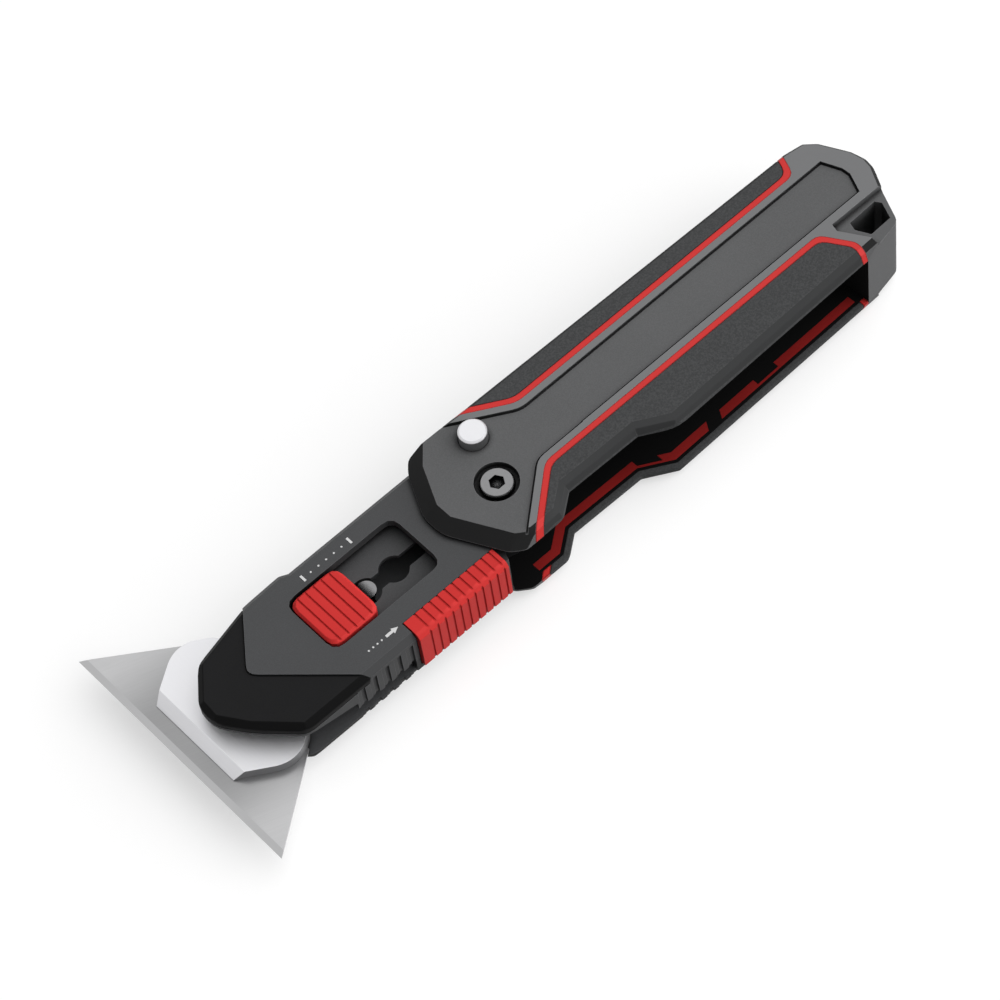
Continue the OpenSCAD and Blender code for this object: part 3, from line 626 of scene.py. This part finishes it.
# Openness within the crease's reach over which an edge counts as outward, and over which the painted shade of a
# crease comes up
CREASE_REACH = 1.5 * MM
OUTWARD_SPAN = (0.74, 0.94)
CREASE_SPAN = (0.92, 0.45)
# Patches of the painted edge highlight: how many go to the metre, and the highlight that is left between them
PATCH_SCALE = 420
PATCH_FLOOR = 0.2
# Clouds in the tone of a brushed steel: how many go to the metre, and their share of it
CLOUD_SCALE = 70
CLOUD_SHARE = 0.4


def new_group(name, inputs, outputs):
    """A shader group. Its inputs have defaults, which are numbers or vectors; its outputs are numbers."""
    group = bpy.data.node_groups.new(name, "ShaderNodeTree")
    for label, default in inputs.items():
        kind = "NodeSocketVector" if isinstance(default, tuple) else "NodeSocketFloat"
        socket = group.interface.new_socket(label, in_out="INPUT", socket_type=kind)
        socket.default_value = default
    for label in outputs:
        group.interface.new_socket(label, in_out="OUTPUT", socket_type="NodeSocketFloat")
    return group, group.nodes.new("NodeGroupInput"), group.nodes.new("NodeGroupOutput")


def put_out(group, leave, **values):
    """Links sockets to the group's outputs of these names."""
    for label, value in values.items():
        group.links.new(value, leave.inputs[label])


def place_group(tree, group, **values):
    """Places a shader group with its own values."""
    node = tree.nodes.new("ShaderNodeGroup")
    node.node_tree = group
    for label, value in values.items():
        node.inputs[label.replace("_", " ")].default_value = value
    return node


def grain_group():
    """Moulded grain: a fine noise for the height and the specks, and a slow one for the tone."""
    group, enter, leave = new_group(
        "moulded_grain", {"Grain Size": 0.22 * MM, "Tone Size": 14 * MM}, ("Height", "Tone", "Speck")
    )
    place = object_point(group)
    per_grain = math_node(group, "DIVIDE", 1.0, enter.outputs["Grain Size"])
    per_tone = math_node(group, "DIVIDE", 1.0, enter.outputs["Tone Size"])
    fine = noise_node(group, place, per_grain, detail=3, rough=0.7)
    slow = noise_node(group, place, per_tone, detail=2)
    put_out(group, leave, Height=fine, Tone=slow, Speck=spread_to(group, fine, span=SPECK_SPAN))
    return group


def cavity_group():
    """How open the surface lies, as a mask for painted shade: 1 on an open face, 0 deep in a slot."""
    group, enter, leave = new_group("deep_recess", {"Reach": 6 * MM, "Deep": 0.15, "Open": 0.50}, ("Mask",))
    around = openness(group, enter.outputs["Reach"])
    span = (enter.outputs["Deep"], enter.outputs["Open"])
    put_out(group, leave, Mask=spread_to(group, around, span=span))
    return group


def facing_group():
    """Masks of the bevels that slope away from the face, and of the upright walls, for painted shade."""
    group, enter, leave = new_group(
        "facing", {"Flat Above": 0.95, "Wall Below": 0.36}, ("Sloped", "Upright")
    )
    normal = group.nodes.new("ShaderNodeTexCoord").outputs["Normal"]
    lift = math_node(group, "ABSOLUTE", split_node(group, normal)["Z"])
    flat = math_node(group, "GREATER_THAN", lift, enter.outputs["Flat Above"])
    upright = math_node(group, "LESS_THAN", lift, enter.outputs["Wall Below"])
    tilted = math_node(group, "SUBTRACT", 1.0, flat)
    put_out(group, leave, Sloped=math_node(group, "SUBTRACT", tilted, upright), Upright=upright)
    return group


def zone_group():
    """Zones of a scale by the distance from the handle's middle plane: a lining inside for painted shade, raised
    rims outside for a painted highlight.
    """
    group, enter, leave = new_group(
        "scale_zones",
        {"Middle": 0.0, "Lining Half": 0.0, "Rim Half": 1.0, "Lining End": 0.0},
        ("Lining", "Rim"),
    )
    part = split_node(group, object_point(group))
    away = math_node(group, "ABSOLUTE", math_node(group, "SUBTRACT", part["Z"], enter.outputs["Middle"]))
    inner = math_node(group, "LESS_THAN", away, enter.outputs["Lining Half"])
    before = math_node(group, "LESS_THAN", part["X"], enter.outputs["Lining End"])
    outer = math_node(group, "GREATER_THAN", away, enter.outputs["Rim Half"])
    put_out(group, leave, Lining=math_node(group, "MULTIPLY", inner, before), Rim=outer)
    return group


def edge_highlight_group():
    """Outward edges, the same edges in patches for a painted highlight, and creases for painted shade."""
    group, enter, leave = new_group(
        "edge_highlight", {"Width": 0.25 * MM, "Amount": 1.0}, ("Mask", "Edge", "Crease")
    )
    rounded = group.nodes.new("ShaderNodeBevel")
    rounded.samples = MASK_SAMPLES
    group.links.new(enter.outputs["Width"], rounded.inputs["Radius"])
    plain = group.nodes.new("ShaderNodeNewGeometry").outputs["Normal"]
    edge = spread_to(group, dot_node(group, rounded.outputs["Normal"], plain), span=EDGE_SPAN)
    near = openness(group, CREASE_REACH)
    outward = math_node(group, "MULTIPLY", edge, spread_to(group, near, span=OUTWARD_SPAN))
    patches = noise_node(group, object_point(group), PATCH_SCALE, detail=4)
    # Painted highlight along the outward edges, broken into patches
    highlit = math_node(group, "MULTIPLY", outward, math_node(group, "ADD", patches, PATCH_FLOOR))
    highlit = math_node(group, "MULTIPLY", highlit, enter.outputs["Amount"])
    put_out(group, leave, Mask=highlit, Edge=outward, Crease=spread_to(group, near, span=CREASE_SPAN))
    return group


def brushed_group():
    """Fine lines along one direction: a noise squeezed across the lines, and clouds with it in the tone."""
    group, enter, leave = new_group(
        "brushed_lines", {"Squeeze": (60.0, 4000.0, 4000.0), "Turn": (0.0, 0.0, 0.0)}, ("Height", "Tone")
    )
    place = object_point(group)
    turned = group.nodes.new("ShaderNodeVectorRotate")
    turned.rotation_type = "EULER_XYZ"
    group.links.new(place, turned.inputs["Vector"])
    group.links.new(enter.outputs["Turn"], turned.inputs["Rotation"])
    squeezed = group.nodes.new("ShaderNodeMapping")
    squeezed.vector_type = "POINT"
    group.links.new(turned.outputs["Vector"], squeezed.inputs["Vector"])
    group.links.new(enter.outputs["Squeeze"], squeezed.inputs["Scale"])
    lines = noise_node(group, squeezed.outputs["Vector"], scale=1.0, detail=4, rough=0.65)
    clouds = noise_node(group, place, CLOUD_SCALE, detail=2)
    line_part = math_node(group, "MULTIPLY", lines, 1 - CLOUD_SHARE)
    cloud_part = math_node(group, "MULTIPLY", clouds, CLOUD_SHARE)
    put_out(group, leave, Height=lines, Tone=math_node(group, "ADD", line_part, cloud_part))
    return group


# ---------------------------------------------------------------- materials

# Tones of a moulded surface, as shares of its colour: specks, the painted highlight on its edges and on a scale's
# rims, and the painted shade of a scale's lining
SPECK_TONE = 2.4
EDGE_HIGHLIGHT_TONE = 2.6
RIM_HIGHLIGHT_TONE = 1.75
LINING_SHADE_TONE = 0.03
# The liners' red, as a share of the trims': a darker red painted as shade inside the handle's channel
LINER_SHADE_TONE = 0.38
# Painted shade on a metal surface, as shares of its colour: on its slopes, on its cut edges and in its recesses
METAL_SLOPE_TONE = 0.82
METAL_WALL_TONE = 0.30
METAL_RECESS_TONE = 0.02
# How far the roughness goes below and above its middle, and the least roughness of a scale's lining
PLASTIC_ROUGH_SPREAD = (0.05, 0.06)
METAL_ROUGH_SPREAD = (0.07, 0.08)
LINING_ROUGH = 0.95
# Depth of the bumps, and how strongly the lines of a metal show
PLASTIC_BUMP = 0.05 * MM
METAL_BUMP = 0.02 * MM
METAL_RELIEF = 0.12
# Grain of the rubber, against that of the plastics
RUBBER_GRAIN = 1.7
# Blade: where the painted highlight toward its ends comes up, as shares of its length from the middle; tones of
# the darker middle and the painted highlight at the ends, of the lines, and of the strip ground along the edge;
# the strip's width; roughness of the lines
BLADE_ENDS = (0.16, 0.42)
BLADE_TONES = (0.78, 1.28)
BLADE_LINE_TONES = (0.86, 1.12)
BLADE_STRIP_TONE = 1.06
BLADE_STRIP = 1.4 * MM
BLADE_ROUGH = (0.24, 0.38)


def new_material(name):
    """A material with its node tree and its Principled shader."""
    material = bpy.data.materials.new(name)
    material.use_nodes = True
    tree = material.node_tree
    return material, tree, tree.nodes["Principled BSDF"]


def bump(tree, shader, height, strength, distance):
    """Lets a height disturb the shader's normal."""
    node = tree.nodes.new("ShaderNodeBump")
    node.inputs["Strength"].default_value = strength
    node.inputs["Distance"].default_value = distance
    tree.links.new(height, node.inputs["Height"])
    tree.links.new(node.outputs["Normal"], shader.inputs["Normal"])


def moulded_material(
    name, groups, colour, grain, rough, relief, highlight, gloss=0.22, speck=0.12, spread=0.08,
    slope=0.12, wall=1.0, recess_shade=0.10, crease=0.35, zones=None, outline=None, edge=0.25 * MM,
    reach=6 * MM, open_at=0.50,
):
    """A moulded plastic or rubber: grained, with painted shade on its bevels, walls and creases and in its
    recesses, and a painted highlight along its edges in patches.

    The tones are shares of the colour; a wall of 1 and an outline of None leave those masks out."""
    material, tree, shader = new_material(name)
    surface = place_group(tree, groups["grain"], Grain_Size=grain)
    edge_lights = place_group(tree, groups["highlight"], Amount=highlight, Width=edge)
    facing = place_group(tree, groups["facing"])
    recess = place_group(tree, groups["cavity"], Reach=reach, Open=open_at)
    tone = mix_colour(tree, surface.outputs["Tone"], shaded(colour, 1 - spread), shaded(colour, 1 + spread))
    specks = spread_to(tree, surface.outputs["Speck"], 0.0, speck)
    tone = mix_colour(tree, specks, tone, shaded(colour, SPECK_TONE))
    if zones:
        zone = place_group(tree, groups["zones"], **zones)
        # Painted highlight on the scale's raised rims
        tone = mix_colour(tree, zone.outputs["Rim"], tone, shaded(colour, RIM_HIGHLIGHT_TONE))
    # Painted shade on the bevels and the upright walls
    tone = mix_colour(tree, facing.outputs["Sloped"], tone, shaded(colour, slope))
    if wall < 1:
        tone = mix_colour(tree, facing.outputs["Upright"], tone, shaded(colour, wall))
    # Painted highlight along the outward edges
    tone = mix_colour(tree, edge_lights.outputs["Mask"], tone, shaded(colour, EDGE_HIGHLIGHT_TONE))
    if outline is not None:
        tone = mix_colour(tree, edge_lights.outputs["Edge"], tone, shaded(colour, outline))
    # Painted shade in creases and in recesses
    tone = mix_colour(tree, edge_lights.outputs["Crease"], tone, shaded(colour, crease))
    tone = mix_colour(tree, recess.outputs["Mask"], shaded(colour, recess_shade), tone)
    below, above = PLASTIC_ROUGH_SPREAD
    matt = spread_to(tree, surface.outputs["Tone"], rough - below, rough + above)
    if zones:
        # Near-black lining: painted shade inside the handle's channel
        tone = mix_colour(tree, zone.outputs["Lining"], tone, shaded(colour, LINING_SHADE_TONE))
        matt = math_node(tree, "MAXIMUM", matt, spread_to(tree, zone.outputs["Lining"], 0.0, LINING_ROUGH))
    tree.links.new(tone, shader.inputs["Base Color"])
    tree.links.new(matt, shader.inputs["Roughness"])
    shader.inputs["Specular IOR Level"].default_value = gloss
    bump(tree, shader, surface.outputs["Height"], relief, PLASTIC_BUMP)
    return material


def metal_material(name, groups, colour, rough, squeeze, contrast, recess=(3 * MM, 0.15, 0.50)):
    """A brushed or plated steel with fine lines, and painted shade on its slopes and cut edges and in its
    recesses.

    The recess is given by its reach and by the openness at which it is deep and at which it ends."""
    material, tree, shader = new_material(name)
    shader.inputs["Metallic"].default_value = 1.0
    lines = place_group(tree, groups["brushed"], Squeeze=squeeze)
    facing = place_group(tree, groups["facing"])
    reach, deep, open_at = recess
    hollow = place_group(tree, groups["cavity"], Reach=reach, Deep=deep, Open=open_at)
    tone = mix_colour(tree, lines.outputs["Tone"], shaded(colour, 1 - contrast), shaded(colour, 1 + contrast))
    # Painted shade on the slopes, on the cut edges and in the recesses
    tone = mix_colour(tree, facing.outputs["Sloped"], tone, shaded(colour, METAL_SLOPE_TONE))
    tone = mix_colour(tree, facing.outputs["Upright"], tone, shaded(colour, METAL_WALL_TONE))
    tone = mix_colour(tree, hollow.outputs["Mask"], shaded(colour, METAL_RECESS_TONE), tone)
    tree.links.new(tone, shader.inputs["Base Color"])
    below, above = METAL_ROUGH_SPREAD
    matt = spread_to(tree, lines.outputs["Height"], rough - below, rough + above)
    tree.links.new(matt, shader.inputs["Roughness"])
    bump(tree, shader, lines.outputs["Height"], METAL_RELIEF, METAL_BUMP)
    return material


def blade_material(name, groups, colour):
    """Ground blade steel with a painted highlight toward both ends, and a strip of one tone ground along the edge.
    """
    material, tree, shader = new_material(name)
    shader.inputs["Metallic"].default_value = 1.0
    low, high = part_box("blade")
    length = high.y - low.y
    lines = place_group(tree, groups["brushed"], Squeeze=(120.0, 4000.0, 4000.0), Turn=(0.0, 0.0, 0.35))
    part = split_node(tree, object_point(tree))
    aside = math_node(tree, "ABSOLUTE", math_node(tree, "SUBTRACT", part["Y"], (low.y + high.y) / 2))
    span = tuple(share * length for share in BLADE_ENDS)
    # Painted highlight: the blade grows brighter from its darker middle toward both ends
    ends = spread_to(tree, aside, span=span, ease="SMOOTHSTEP")
    tone = mix_colour(tree, ends, *(shaded(colour, share) for share in BLADE_TONES))
    streaks = mix_colour(tree, lines.outputs["Tone"], *((share,) * 3 for share in BLADE_LINE_TONES))
    tone = mix_colour(tree, 1.0, tone, streaks, blend="MULTIPLY")
    strip = math_node(tree, "LESS_THAN", part["X"], low.x + BLADE_STRIP)
    tone = mix_colour(tree, strip, tone, shaded(colour, BLADE_STRIP_TONE))
    tree.links.new(tone, shader.inputs["Base Color"])
    tree.links.new(spread_to(tree, lines.outputs["Height"], *BLADE_ROUGH), shader.inputs["Roughness"])
    bump(tree, shader, lines.outputs["Height"], METAL_RELIEF, METAL_BUMP)
    return material


def print_material(name, groups, thin, full):
    """White ink, thinner in places."""
    material, tree, shader = new_material(name)
    surface = place_group(tree, groups["grain"])
    tone = mix_colour(tree, surface.outputs["Tone"], thin, full)
    tree.links.new(tone, shader.inputs["Base Color"])
    shader.inputs["Roughness"].default_value = 0.55
    return material


# Material of each finish, once it is made
MATERIALS = {}


def make_materials():
    """Builds the shader groups once and the material of each finish with them."""
    finish = scraper().finish
    grain = finish.grain
    groups = {
        "grain": grain_group(),
        "highlight": edge_highlight_group(),
        "brushed": brushed_group(),
        "facing": facing_group(),
        "cavity": cavity_group(),
        "zones": zone_group(),
    }
    low, high, top = HANDLE_PLANES
    zones = {
        "Middle": (low + high) / 2,
        "Lining_Half": (high - low) / 2 + LINING_MARGIN,
        "Rim_Half": top - (low + high) / 2 - RIM_DEPTH,
        "Lining_End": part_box("front_lower_trim")[1].x - LINING_GAP,
    }
    # Each moulded finish paints a highlight on its outward edges and shade on its bevels, walls, creases and
    # recesses, at the shares given; the scale grey also paints a highlight on its rims and a near-black lining as
    # shade inside the handle
    MATERIALS["grey_plastic"] = moulded_material(
        "grained_grey_plastic", groups, finish.grey, grain, rough=0.52, relief=0.16, highlight=0.6,
        gloss=0.10, crease=0.12, zones=zones, reach=10 * MM, open_at=0.62,
    )
    MATERIALS["head_grey"] = moulded_material(
        "grained_head_plastic", groups, finish.head_grey, grain, rough=0.50, relief=0.14, highlight=0.9,
        slope=0.8, wall=0.66,
    )
    # The head grey with more painted shade on the back shell's bevels and walls
    MATERIALS["head_back_grey_shaded"] = moulded_material(
        "grained_back_shell_plastic", groups, finish.head_grey, grain, rough=0.50, relief=0.14, highlight=0.6,
        slope=0.4, wall=0.12,
    )
    MATERIALS["grip_rubber"] = moulded_material(
        "grip_rubber", groups, finish.grip, grain * RUBBER_GRAIN, rough=0.78, relief=0.55, highlight=0.15,
        gloss=0.12, speck=0.30, slope=0.80,
    )
    MATERIALS["red_plastic"] = moulded_material(
        "satin_red_plastic", groups, finish.red, grain, rough=0.42, relief=0.08, highlight=0.06,
        gloss=0.08, speck=0.0, spread=0.05, slope=1.0, recess_shade=0.85, crease=0.80,
    )
    MATERIALS["trim_red"] = moulded_material(
        "satin_red_trim", groups, finish.red, grain, rough=0.42, relief=0.08, highlight=0.0,
        gloss=0.14, speck=0.0, spread=0.05, slope=1.0, recess_shade=0.5, outline=0.06, edge=0.45 * MM,
    )
    # A darker red as painted shade inside the handle's channel
    MATERIALS["shaded_liner_red"] = moulded_material(
        "red_liner_painted_shade", groups, shaded(finish.red, LINER_SHADE_TONE), grain, rough=0.6, relief=0.08, highlight=0.10,
        gloss=0.05, speck=0.0, spread=0.25, slope=1.0, recess_shade=0.2,
    )
    MATERIALS["black_plastic"] = moulded_material(
        "satin_black_plastic", groups, finish.black, grain, rough=0.42, relief=0.10, highlight=1.0,
        gloss=0.05, speck=0.10, spread=0.16, slope=0.35, wall=0.10,
    )
    MATERIALS["bright_steel"] = metal_material(
        "bright_brushed_steel", groups, finish.bright, rough=0.52, squeeze=(2500.0, 160.0, 2500.0),
        contrast=0.05, recess=(3 * MM, 0.0, 0.12),
    )
    MATERIALS["blade_steel"] = blade_material("ground_blade_steel", groups, finish.steel)
    MATERIALS["plated_steel"] = metal_material(
        "plated_steel", groups, finish.plated, rough=0.36, squeeze=(900.0, 900.0, 900.0),
        contrast=0.08, recess=(3 * MM, 0.84, 0.99),
    )
    MATERIALS["dark_steel"] = metal_material(
        "blackened_steel", groups, finish.dark, rough=0.38, squeeze=(900.0, 900.0, 900.0), contrast=0.10
    )
    MATERIALS["white_print"] = print_material("white_print", groups, finish.thin_ink, finish.ink)


# ---------------------------------------------------------------- pieces


def add_piece(name, mesh, body, material):
    """A new piece that rides on a body and has one material."""
    piece = bpy.data.objects.new(name, mesh)
    bpy.context.scene.collection.objects.link(piece)
    mesh.materials.append(material)
    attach(piece, body)


def smooth_group(name, limit):
    """Geometry nodes that shade a mesh smooth and keep its edges sharper than the limit."""
    group = bpy.data.node_groups.new(name, "GeometryNodeTree")
    group.is_modifier = True
    group.interface.new_socket("Geometry", in_out="INPUT", socket_type="NodeSocketGeometry")
    group.interface.new_socket("Geometry", in_out="OUTPUT", socket_type="NodeSocketGeometry")
    enter, leave = group.nodes.new("NodeGroupInput"), group.nodes.new("NodeGroupOutput")
    faces = group.nodes.new("GeometryNodeSetShadeSmooth")
    edges = group.nodes.new("GeometryNodeSetShadeSmooth")
    edges.domain = "EDGE"
    edges.inputs["Shade Smooth"].default_value = False
    sharp = group.nodes.new("FunctionNodeCompare")
    sharp.operation = "GREATER_THAN"
    sharp.inputs["B"].default_value = limit
    angle = group.nodes.new("GeometryNodeInputMeshEdgeAngle")
    group.links.new(angle.outputs["Unsigned Angle"], sharp.inputs["A"])
    group.links.new(enter.outputs[0], faces.inputs["Geometry"])
    group.links.new(faces.outputs[0], edges.inputs["Geometry"])
    group.links.new(sharp.outputs["Result"], edges.inputs["Selection"])
    group.links.new(edges.outputs[0], leave.inputs[0])
    return group


class SCRAPER_OT_edges(bpy.types.Operator):
    """Rounds the sharp edges of the CAD nodes with modifiers, and shades them smooth"""

    bl_idname = "scraper.edges"
    bl_label = "Rounded edges"

    def execute(self, context):
        settings = scraper().edges
        smooth = smooth_group("smooth_below_angle", settings.smooth_angle)
        crisp = smooth_group("smooth_below_crisp_angle", settings.crisp_angle)
        for name, node in frame["nodes"].items():
            weld = node.modifiers.new("weld", "WELD")
            weld.merge_threshold = settings.weld
            flats = node.modifiers.new("flats", "DECIMATE")
            flats.decimate_type = "DISSOLVE"
            flats.angle_limit = settings.flat_angle
            if name in EDGE_WIDTHS:
                edge = node.modifiers.new("edge", "BEVEL")
                edge.width = EDGE_WIDTHS[name] * MM * settings.share
                edge.segments = settings.segments
                edge.limit_method = "ANGLE"
                edge.angle_limit = settings.angle
                edge.use_clamp_overlap = True
            node.modifiers.new("smooth", "NODES").node_group = crisp if name == "blade" else smooth
            even = node.modifiers.new("even", "WEIGHTED_NORMAL")
            even.keep_sharp = True
            even.weight = settings.large_faces
        return {"FINISHED"}


class SCRAPER_OT_finishes(bpy.types.Operator):
    """Makes the materials and puts them on the CAD nodes"""

    bl_idname = "scraper.finishes"
    bl_label = "Finishes"

    def execute(self, context):
        make_materials()
        for name, node in frame["nodes"].items():
            node.data.materials.clear()
            node.data.materials.append(MATERIALS[FINISH_OF.get(name, SLOT_OF[name])])
        return {"FINISHED"}


# ---------------------------------------------------------------- marks

# The arrow's head as a share of its length, and half its stem as a share of its width
ARROW_HEAD = 0.45
ARROW_STEM = 0.22
# Dots between the two ticks, dots before the arrow, and corners of a dot
TICK_DOTS = 5
ARROW_DOTS = 4
DOT_CORNERS = 12


def flat_mark(name, outline, height, thickness):
    """A thin printed shape lying on a face at that height. Its outline runs counter-clockwise."""
    count = len(outline)
    corners = [(x, y, z) for z in (height, height + thickness) for x, y in outline]
    low, top = tuple(reversed(range(count))), tuple(range(count, 2 * count))
    sides = [(i, (i + 1) % count, (i + 1) % count + count, i + count) for i in range(count)]
    mesh = bpy.data.meshes.new(name)
    mesh.from_pydata(corners, [], [low, top, *sides])
    mesh.update()
    return mesh


def arrow_outline(tip, length, width):
    """An arrow that points along +X to its tip."""
    neck, stem = tip.x - ARROW_HEAD * length, ARROW_STEM * width
    return [
        (tip.x - length, tip.y - stem),
        (neck, tip.y - stem),
        (neck, tip.y - width / 2),
        (tip.x, tip.y),
        (neck, tip.y + width / 2),
        (neck, tip.y + stem),
        (tip.x - length, tip.y + stem),
    ]


def tick_outline(x, y, width, length):
    """A tick that stands on the middle of its lower end."""
    left, right = x - width / 2, x + width / 2
    return [(left, y), (right, y), (right, y + length), (left, y + length)]


def dot_outline(x, y, size):
    """A round dot about its middle."""
    turns = (math.tau * k / DOT_CORNERS for k in range(DOT_CORNERS))
    return [(x + size / 2 * math.cos(t), y + size / 2 * math.sin(t)) for t in turns]


class SCRAPER_OT_marks(bpy.types.Operator):
    """Prints a plain arrow beside the slider, two ticks beside the window, and rows of dots"""

    bl_idname = "scraper.marks"
    bl_label = "Printed marks"

    def execute(self, context):
        marks = scraper().marks
        travel = next(j for j in frame["joints"] if j["name"] == "mode_slide")["range_m"][1]
        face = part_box("head_front_shell")[1].z
        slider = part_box("rotate_slider")
        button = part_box("mode_button")
        tip = Vector((slider[0].x - marks.arrow_gap, slider[1].y + marks.arrow_rise))
        tail = tip.x - marks.arrow_length
        middle, ticks_y = (button[0].x + button[1].x) / 2, button[1].y + marks.tick_gap
        shapes = {"travel_arrow": arrow_outline(tip, marks.arrow_length, marks.arrow_width)}
        for i, x in enumerate((middle, middle + travel)):
            shapes[f"window_tick_{i + 1}"] = tick_outline(x, ticks_y, marks.tick_width, marks.tick_length)
        dots_y = ticks_y + marks.tick_length / 2
        dots = [(middle + travel * (i + 1) / (TICK_DOTS + 1), dots_y) for i in range(TICK_DOTS)]
        dots += [(tail - marks.dot_pitch * (i + 1), tip.y) for i in range(ARROW_DOTS)]
        for i, (x, y) in enumerate(dots):
            shapes[f"travel_dot_{i + 1}"] = dot_outline(x, y, marks.dot_size)
        for name, outline in shapes.items():
            mesh = flat_mark(name, outline, face, marks.thickness)
            add_piece(name, mesh, "head", MATERIALS["white_print"])
        return {"FINISHED"}


# ---------------------------------------------------------------- stage

# Tones of the floor, as shares of its colour: at its darkest, and where light bounces off it
FLOOR_CLOUD_TONE = 0.995
FLOOR_BOUNCE_TONE = 0.25
# The camera's sensor in millimetres, and the nearest and farthest that it sees in metres
SENSOR_WIDTH = 36
CLIP = (0.01, 10)


def seen_mask(tree):
    """1 where the camera, a reflection or a clear piece looks, 0 where light bounces."""
    path = tree.nodes.new("ShaderNodeLightPath")
    mirrored = math_node(tree, "MAXIMUM", path.outputs["Is Camera Ray"], path.outputs["Is Glossy Ray"])
    return math_node(tree, "MAXIMUM", mirrored, path.outputs["Is Transmission Ray"])


def floor_material(stage):
    """A pale floor that shows some white of its own and throws little light back on the tool."""
    material, tree, shader = new_material("studio_floor")
    clouds = noise_node(tree, None, scale=3, detail=2)
    pale = mix_colour(tree, clouds, shaded(stage.floor, FLOOR_CLOUD_TONE), stage.floor)
    seen = seen_mask(tree)
    tone = mix_colour(tree, seen, shaded(stage.floor, FLOOR_BOUNCE_TONE), pale)
    tree.links.new(tone, shader.inputs["Base Color"])
    shader.inputs["Roughness"].default_value = 0.9
    shader.inputs["Specular IOR Level"].default_value = 0.1
    shader.inputs["Emission Color"].default_value = (1, 1, 1, 1)
    tree.links.new(math_node(tree, "MULTIPLY", seen, stage.glow), shader.inputs["Emission Strength"])
    return material


def add_floor(stage):
    """The floor just below the tool."""
    work = bmesh.new()
    bmesh.ops.create_grid(work, x_segments=1, y_segments=1, size=stage.floor_half)
    mesh = bpy.data.meshes.new("floor")
    work.to_mesh(mesh)
    work.free()
    mesh.materials.append(floor_material(stage))
    floor = bpy.data.objects.new("floor", mesh)
    bpy.context.scene.collection.objects.link(floor)
    floor.location.z = CAD_BOX[0].z - stage.floor_drop


def studio_world(stage):
    """A room that looks white, and lights the tool from its bright side."""
    world = bpy.data.worlds.new("studio_world")
    world.use_nodes = True
    tree = world.node_tree
    background = tree.nodes["Background"]
    background.inputs["Color"].default_value = (1, 1, 1, 1)
    direction = tree.nodes.new("ShaderNodeTexCoord").outputs["Generated"]
    toward = dot_node(tree, direction, Vector(stage.sky_side).normalized())
    span = (stage.sky_edge, stage.sky_core)
    light = spread_to(tree, toward, stage.ambient, stage.sky, span=span, ease="SMOOTHSTEP")
    strength = tree.nodes.new("ShaderNodeMix")
    strength.data_type = "FLOAT"
    strength.inputs["B"].default_value = 1.0
    tree.links.new(seen_mask(tree), strength.inputs["Factor"])
    tree.links.new(light, strength.inputs["A"])
    tree.links.new(strength.outputs["Result"], background.inputs["Strength"])
    return world


def add_lamp(name, stage):
    """A long lamp turned toward the frame's origin."""
    lamp = bpy.data.lights.new(name, "AREA")
    lamp.shape = "RECTANGLE"
    lamp.size, lamp.size_y = stage.lamp_length, stage.lamp_width
    lamp.energy = stage.lamp_power
    holder = bpy.data.objects.new(name, lamp)
    bpy.context.scene.collection.objects.link(holder)
    holder.location = stage.lamp_place
    holder.rotation_mode = "QUATERNION"
    holder.rotation_quaternion = (-Vector(stage.lamp_place)).to_track_quat("-Z", "Y")


def camera_matrix(stage):
    """Azimuth 0 looks along +Y; the roll turns the picture about its middle."""
    a, e, roll = stage.azimuth, stage.elevation, stage.roll
    ahead = Vector((-math.sin(a) * math.cos(e), math.cos(a) * math.cos(e), -math.sin(e)))
    right = Vector((math.cos(a), math.sin(a), 0))
    down = ahead.cross(right)
    right, down = (
        math.cos(roll) * right + math.sin(roll) * down,
        math.cos(roll) * down - math.sin(roll) * right,
    )
    turn = Matrix((right, -down, -ahead)).transposed().to_4x4()
    return Matrix.Translation(Vector(stage.place)) @ turn


def photo_camera(stage):
    """The camera that stands where the photograph was taken."""
    lens = bpy.data.cameras.new("photo_camera")
    lens.sensor_width = SENSOR_WIDTH
    lens.lens = stage.lens
    lens.clip_start, lens.clip_end = CLIP
    camera = bpy.data.objects.new("photo_camera", lens)
    bpy.context.scene.collection.objects.link(camera)
    camera.matrix_world = camera_matrix(stage)
    return camera


class SCRAPER_OT_stage(bpy.types.Operator):
    """Sets the floor, the lamp, the world and the camera"""

    bl_idname = "scraper.stage"
    bl_label = "Stage"

    def execute(self, context):
        stage = scraper().stage
        scene = context.scene
        add_floor(stage)
        scene.world = studio_world(stage)
        add_lamp("side", stage)
        scene.camera = photo_camera(stage)
        scene.view_settings.view_transform = "Standard"
        return {"FINISHED"}


class SCRAPER_PT_panel(bpy.types.Panel):
    """Lists the scraper's operators"""

    bl_label = "Folding Blade Scraper"
    bl_idname = "SCRAPER_PT_panel"
    bl_space_type = "VIEW_3D"
    bl_region_type = "UI"
    bl_category = "Scraper"

    def draw(self, context):
        for operator in OPERATORS:
            self.layout.operator(operator.bl_idname)


OPERATORS = (
    SCRAPER_OT_finishes,
    SCRAPER_OT_edges,
    SCRAPER_OT_marks,
    SCRAPER_OT_stage,
)
CLASSES = (
    FinishSettings,
    EdgeSettings,
    MarkSettings,
    StageSettings,
    ScraperSettings,
    *OPERATORS,
    SCRAPER_PT_panel,
)


def register():
    """Registers the settings, the operators and the panel."""
    for cls in CLASSES:
        bpy.utils.register_class(cls)
    bpy.types.Scene.scraper_settings = PointerProperty(type=ScraperSettings)


def unregister():
    """Takes away what register() put in."""
    del bpy.types.Scene.scraper_settings
    for cls in reversed(CLASSES):
        bpy.utils.unregister_class(cls)


def main():
    """Dresses the scraper."""
    register()
    bpy.ops.scraper.finishes()
    bpy.ops.scraper.edges()
    bpy.ops.scraper.marks()
    bpy.ops.scraper.stage()


if __name__ == "__main__":
    main()
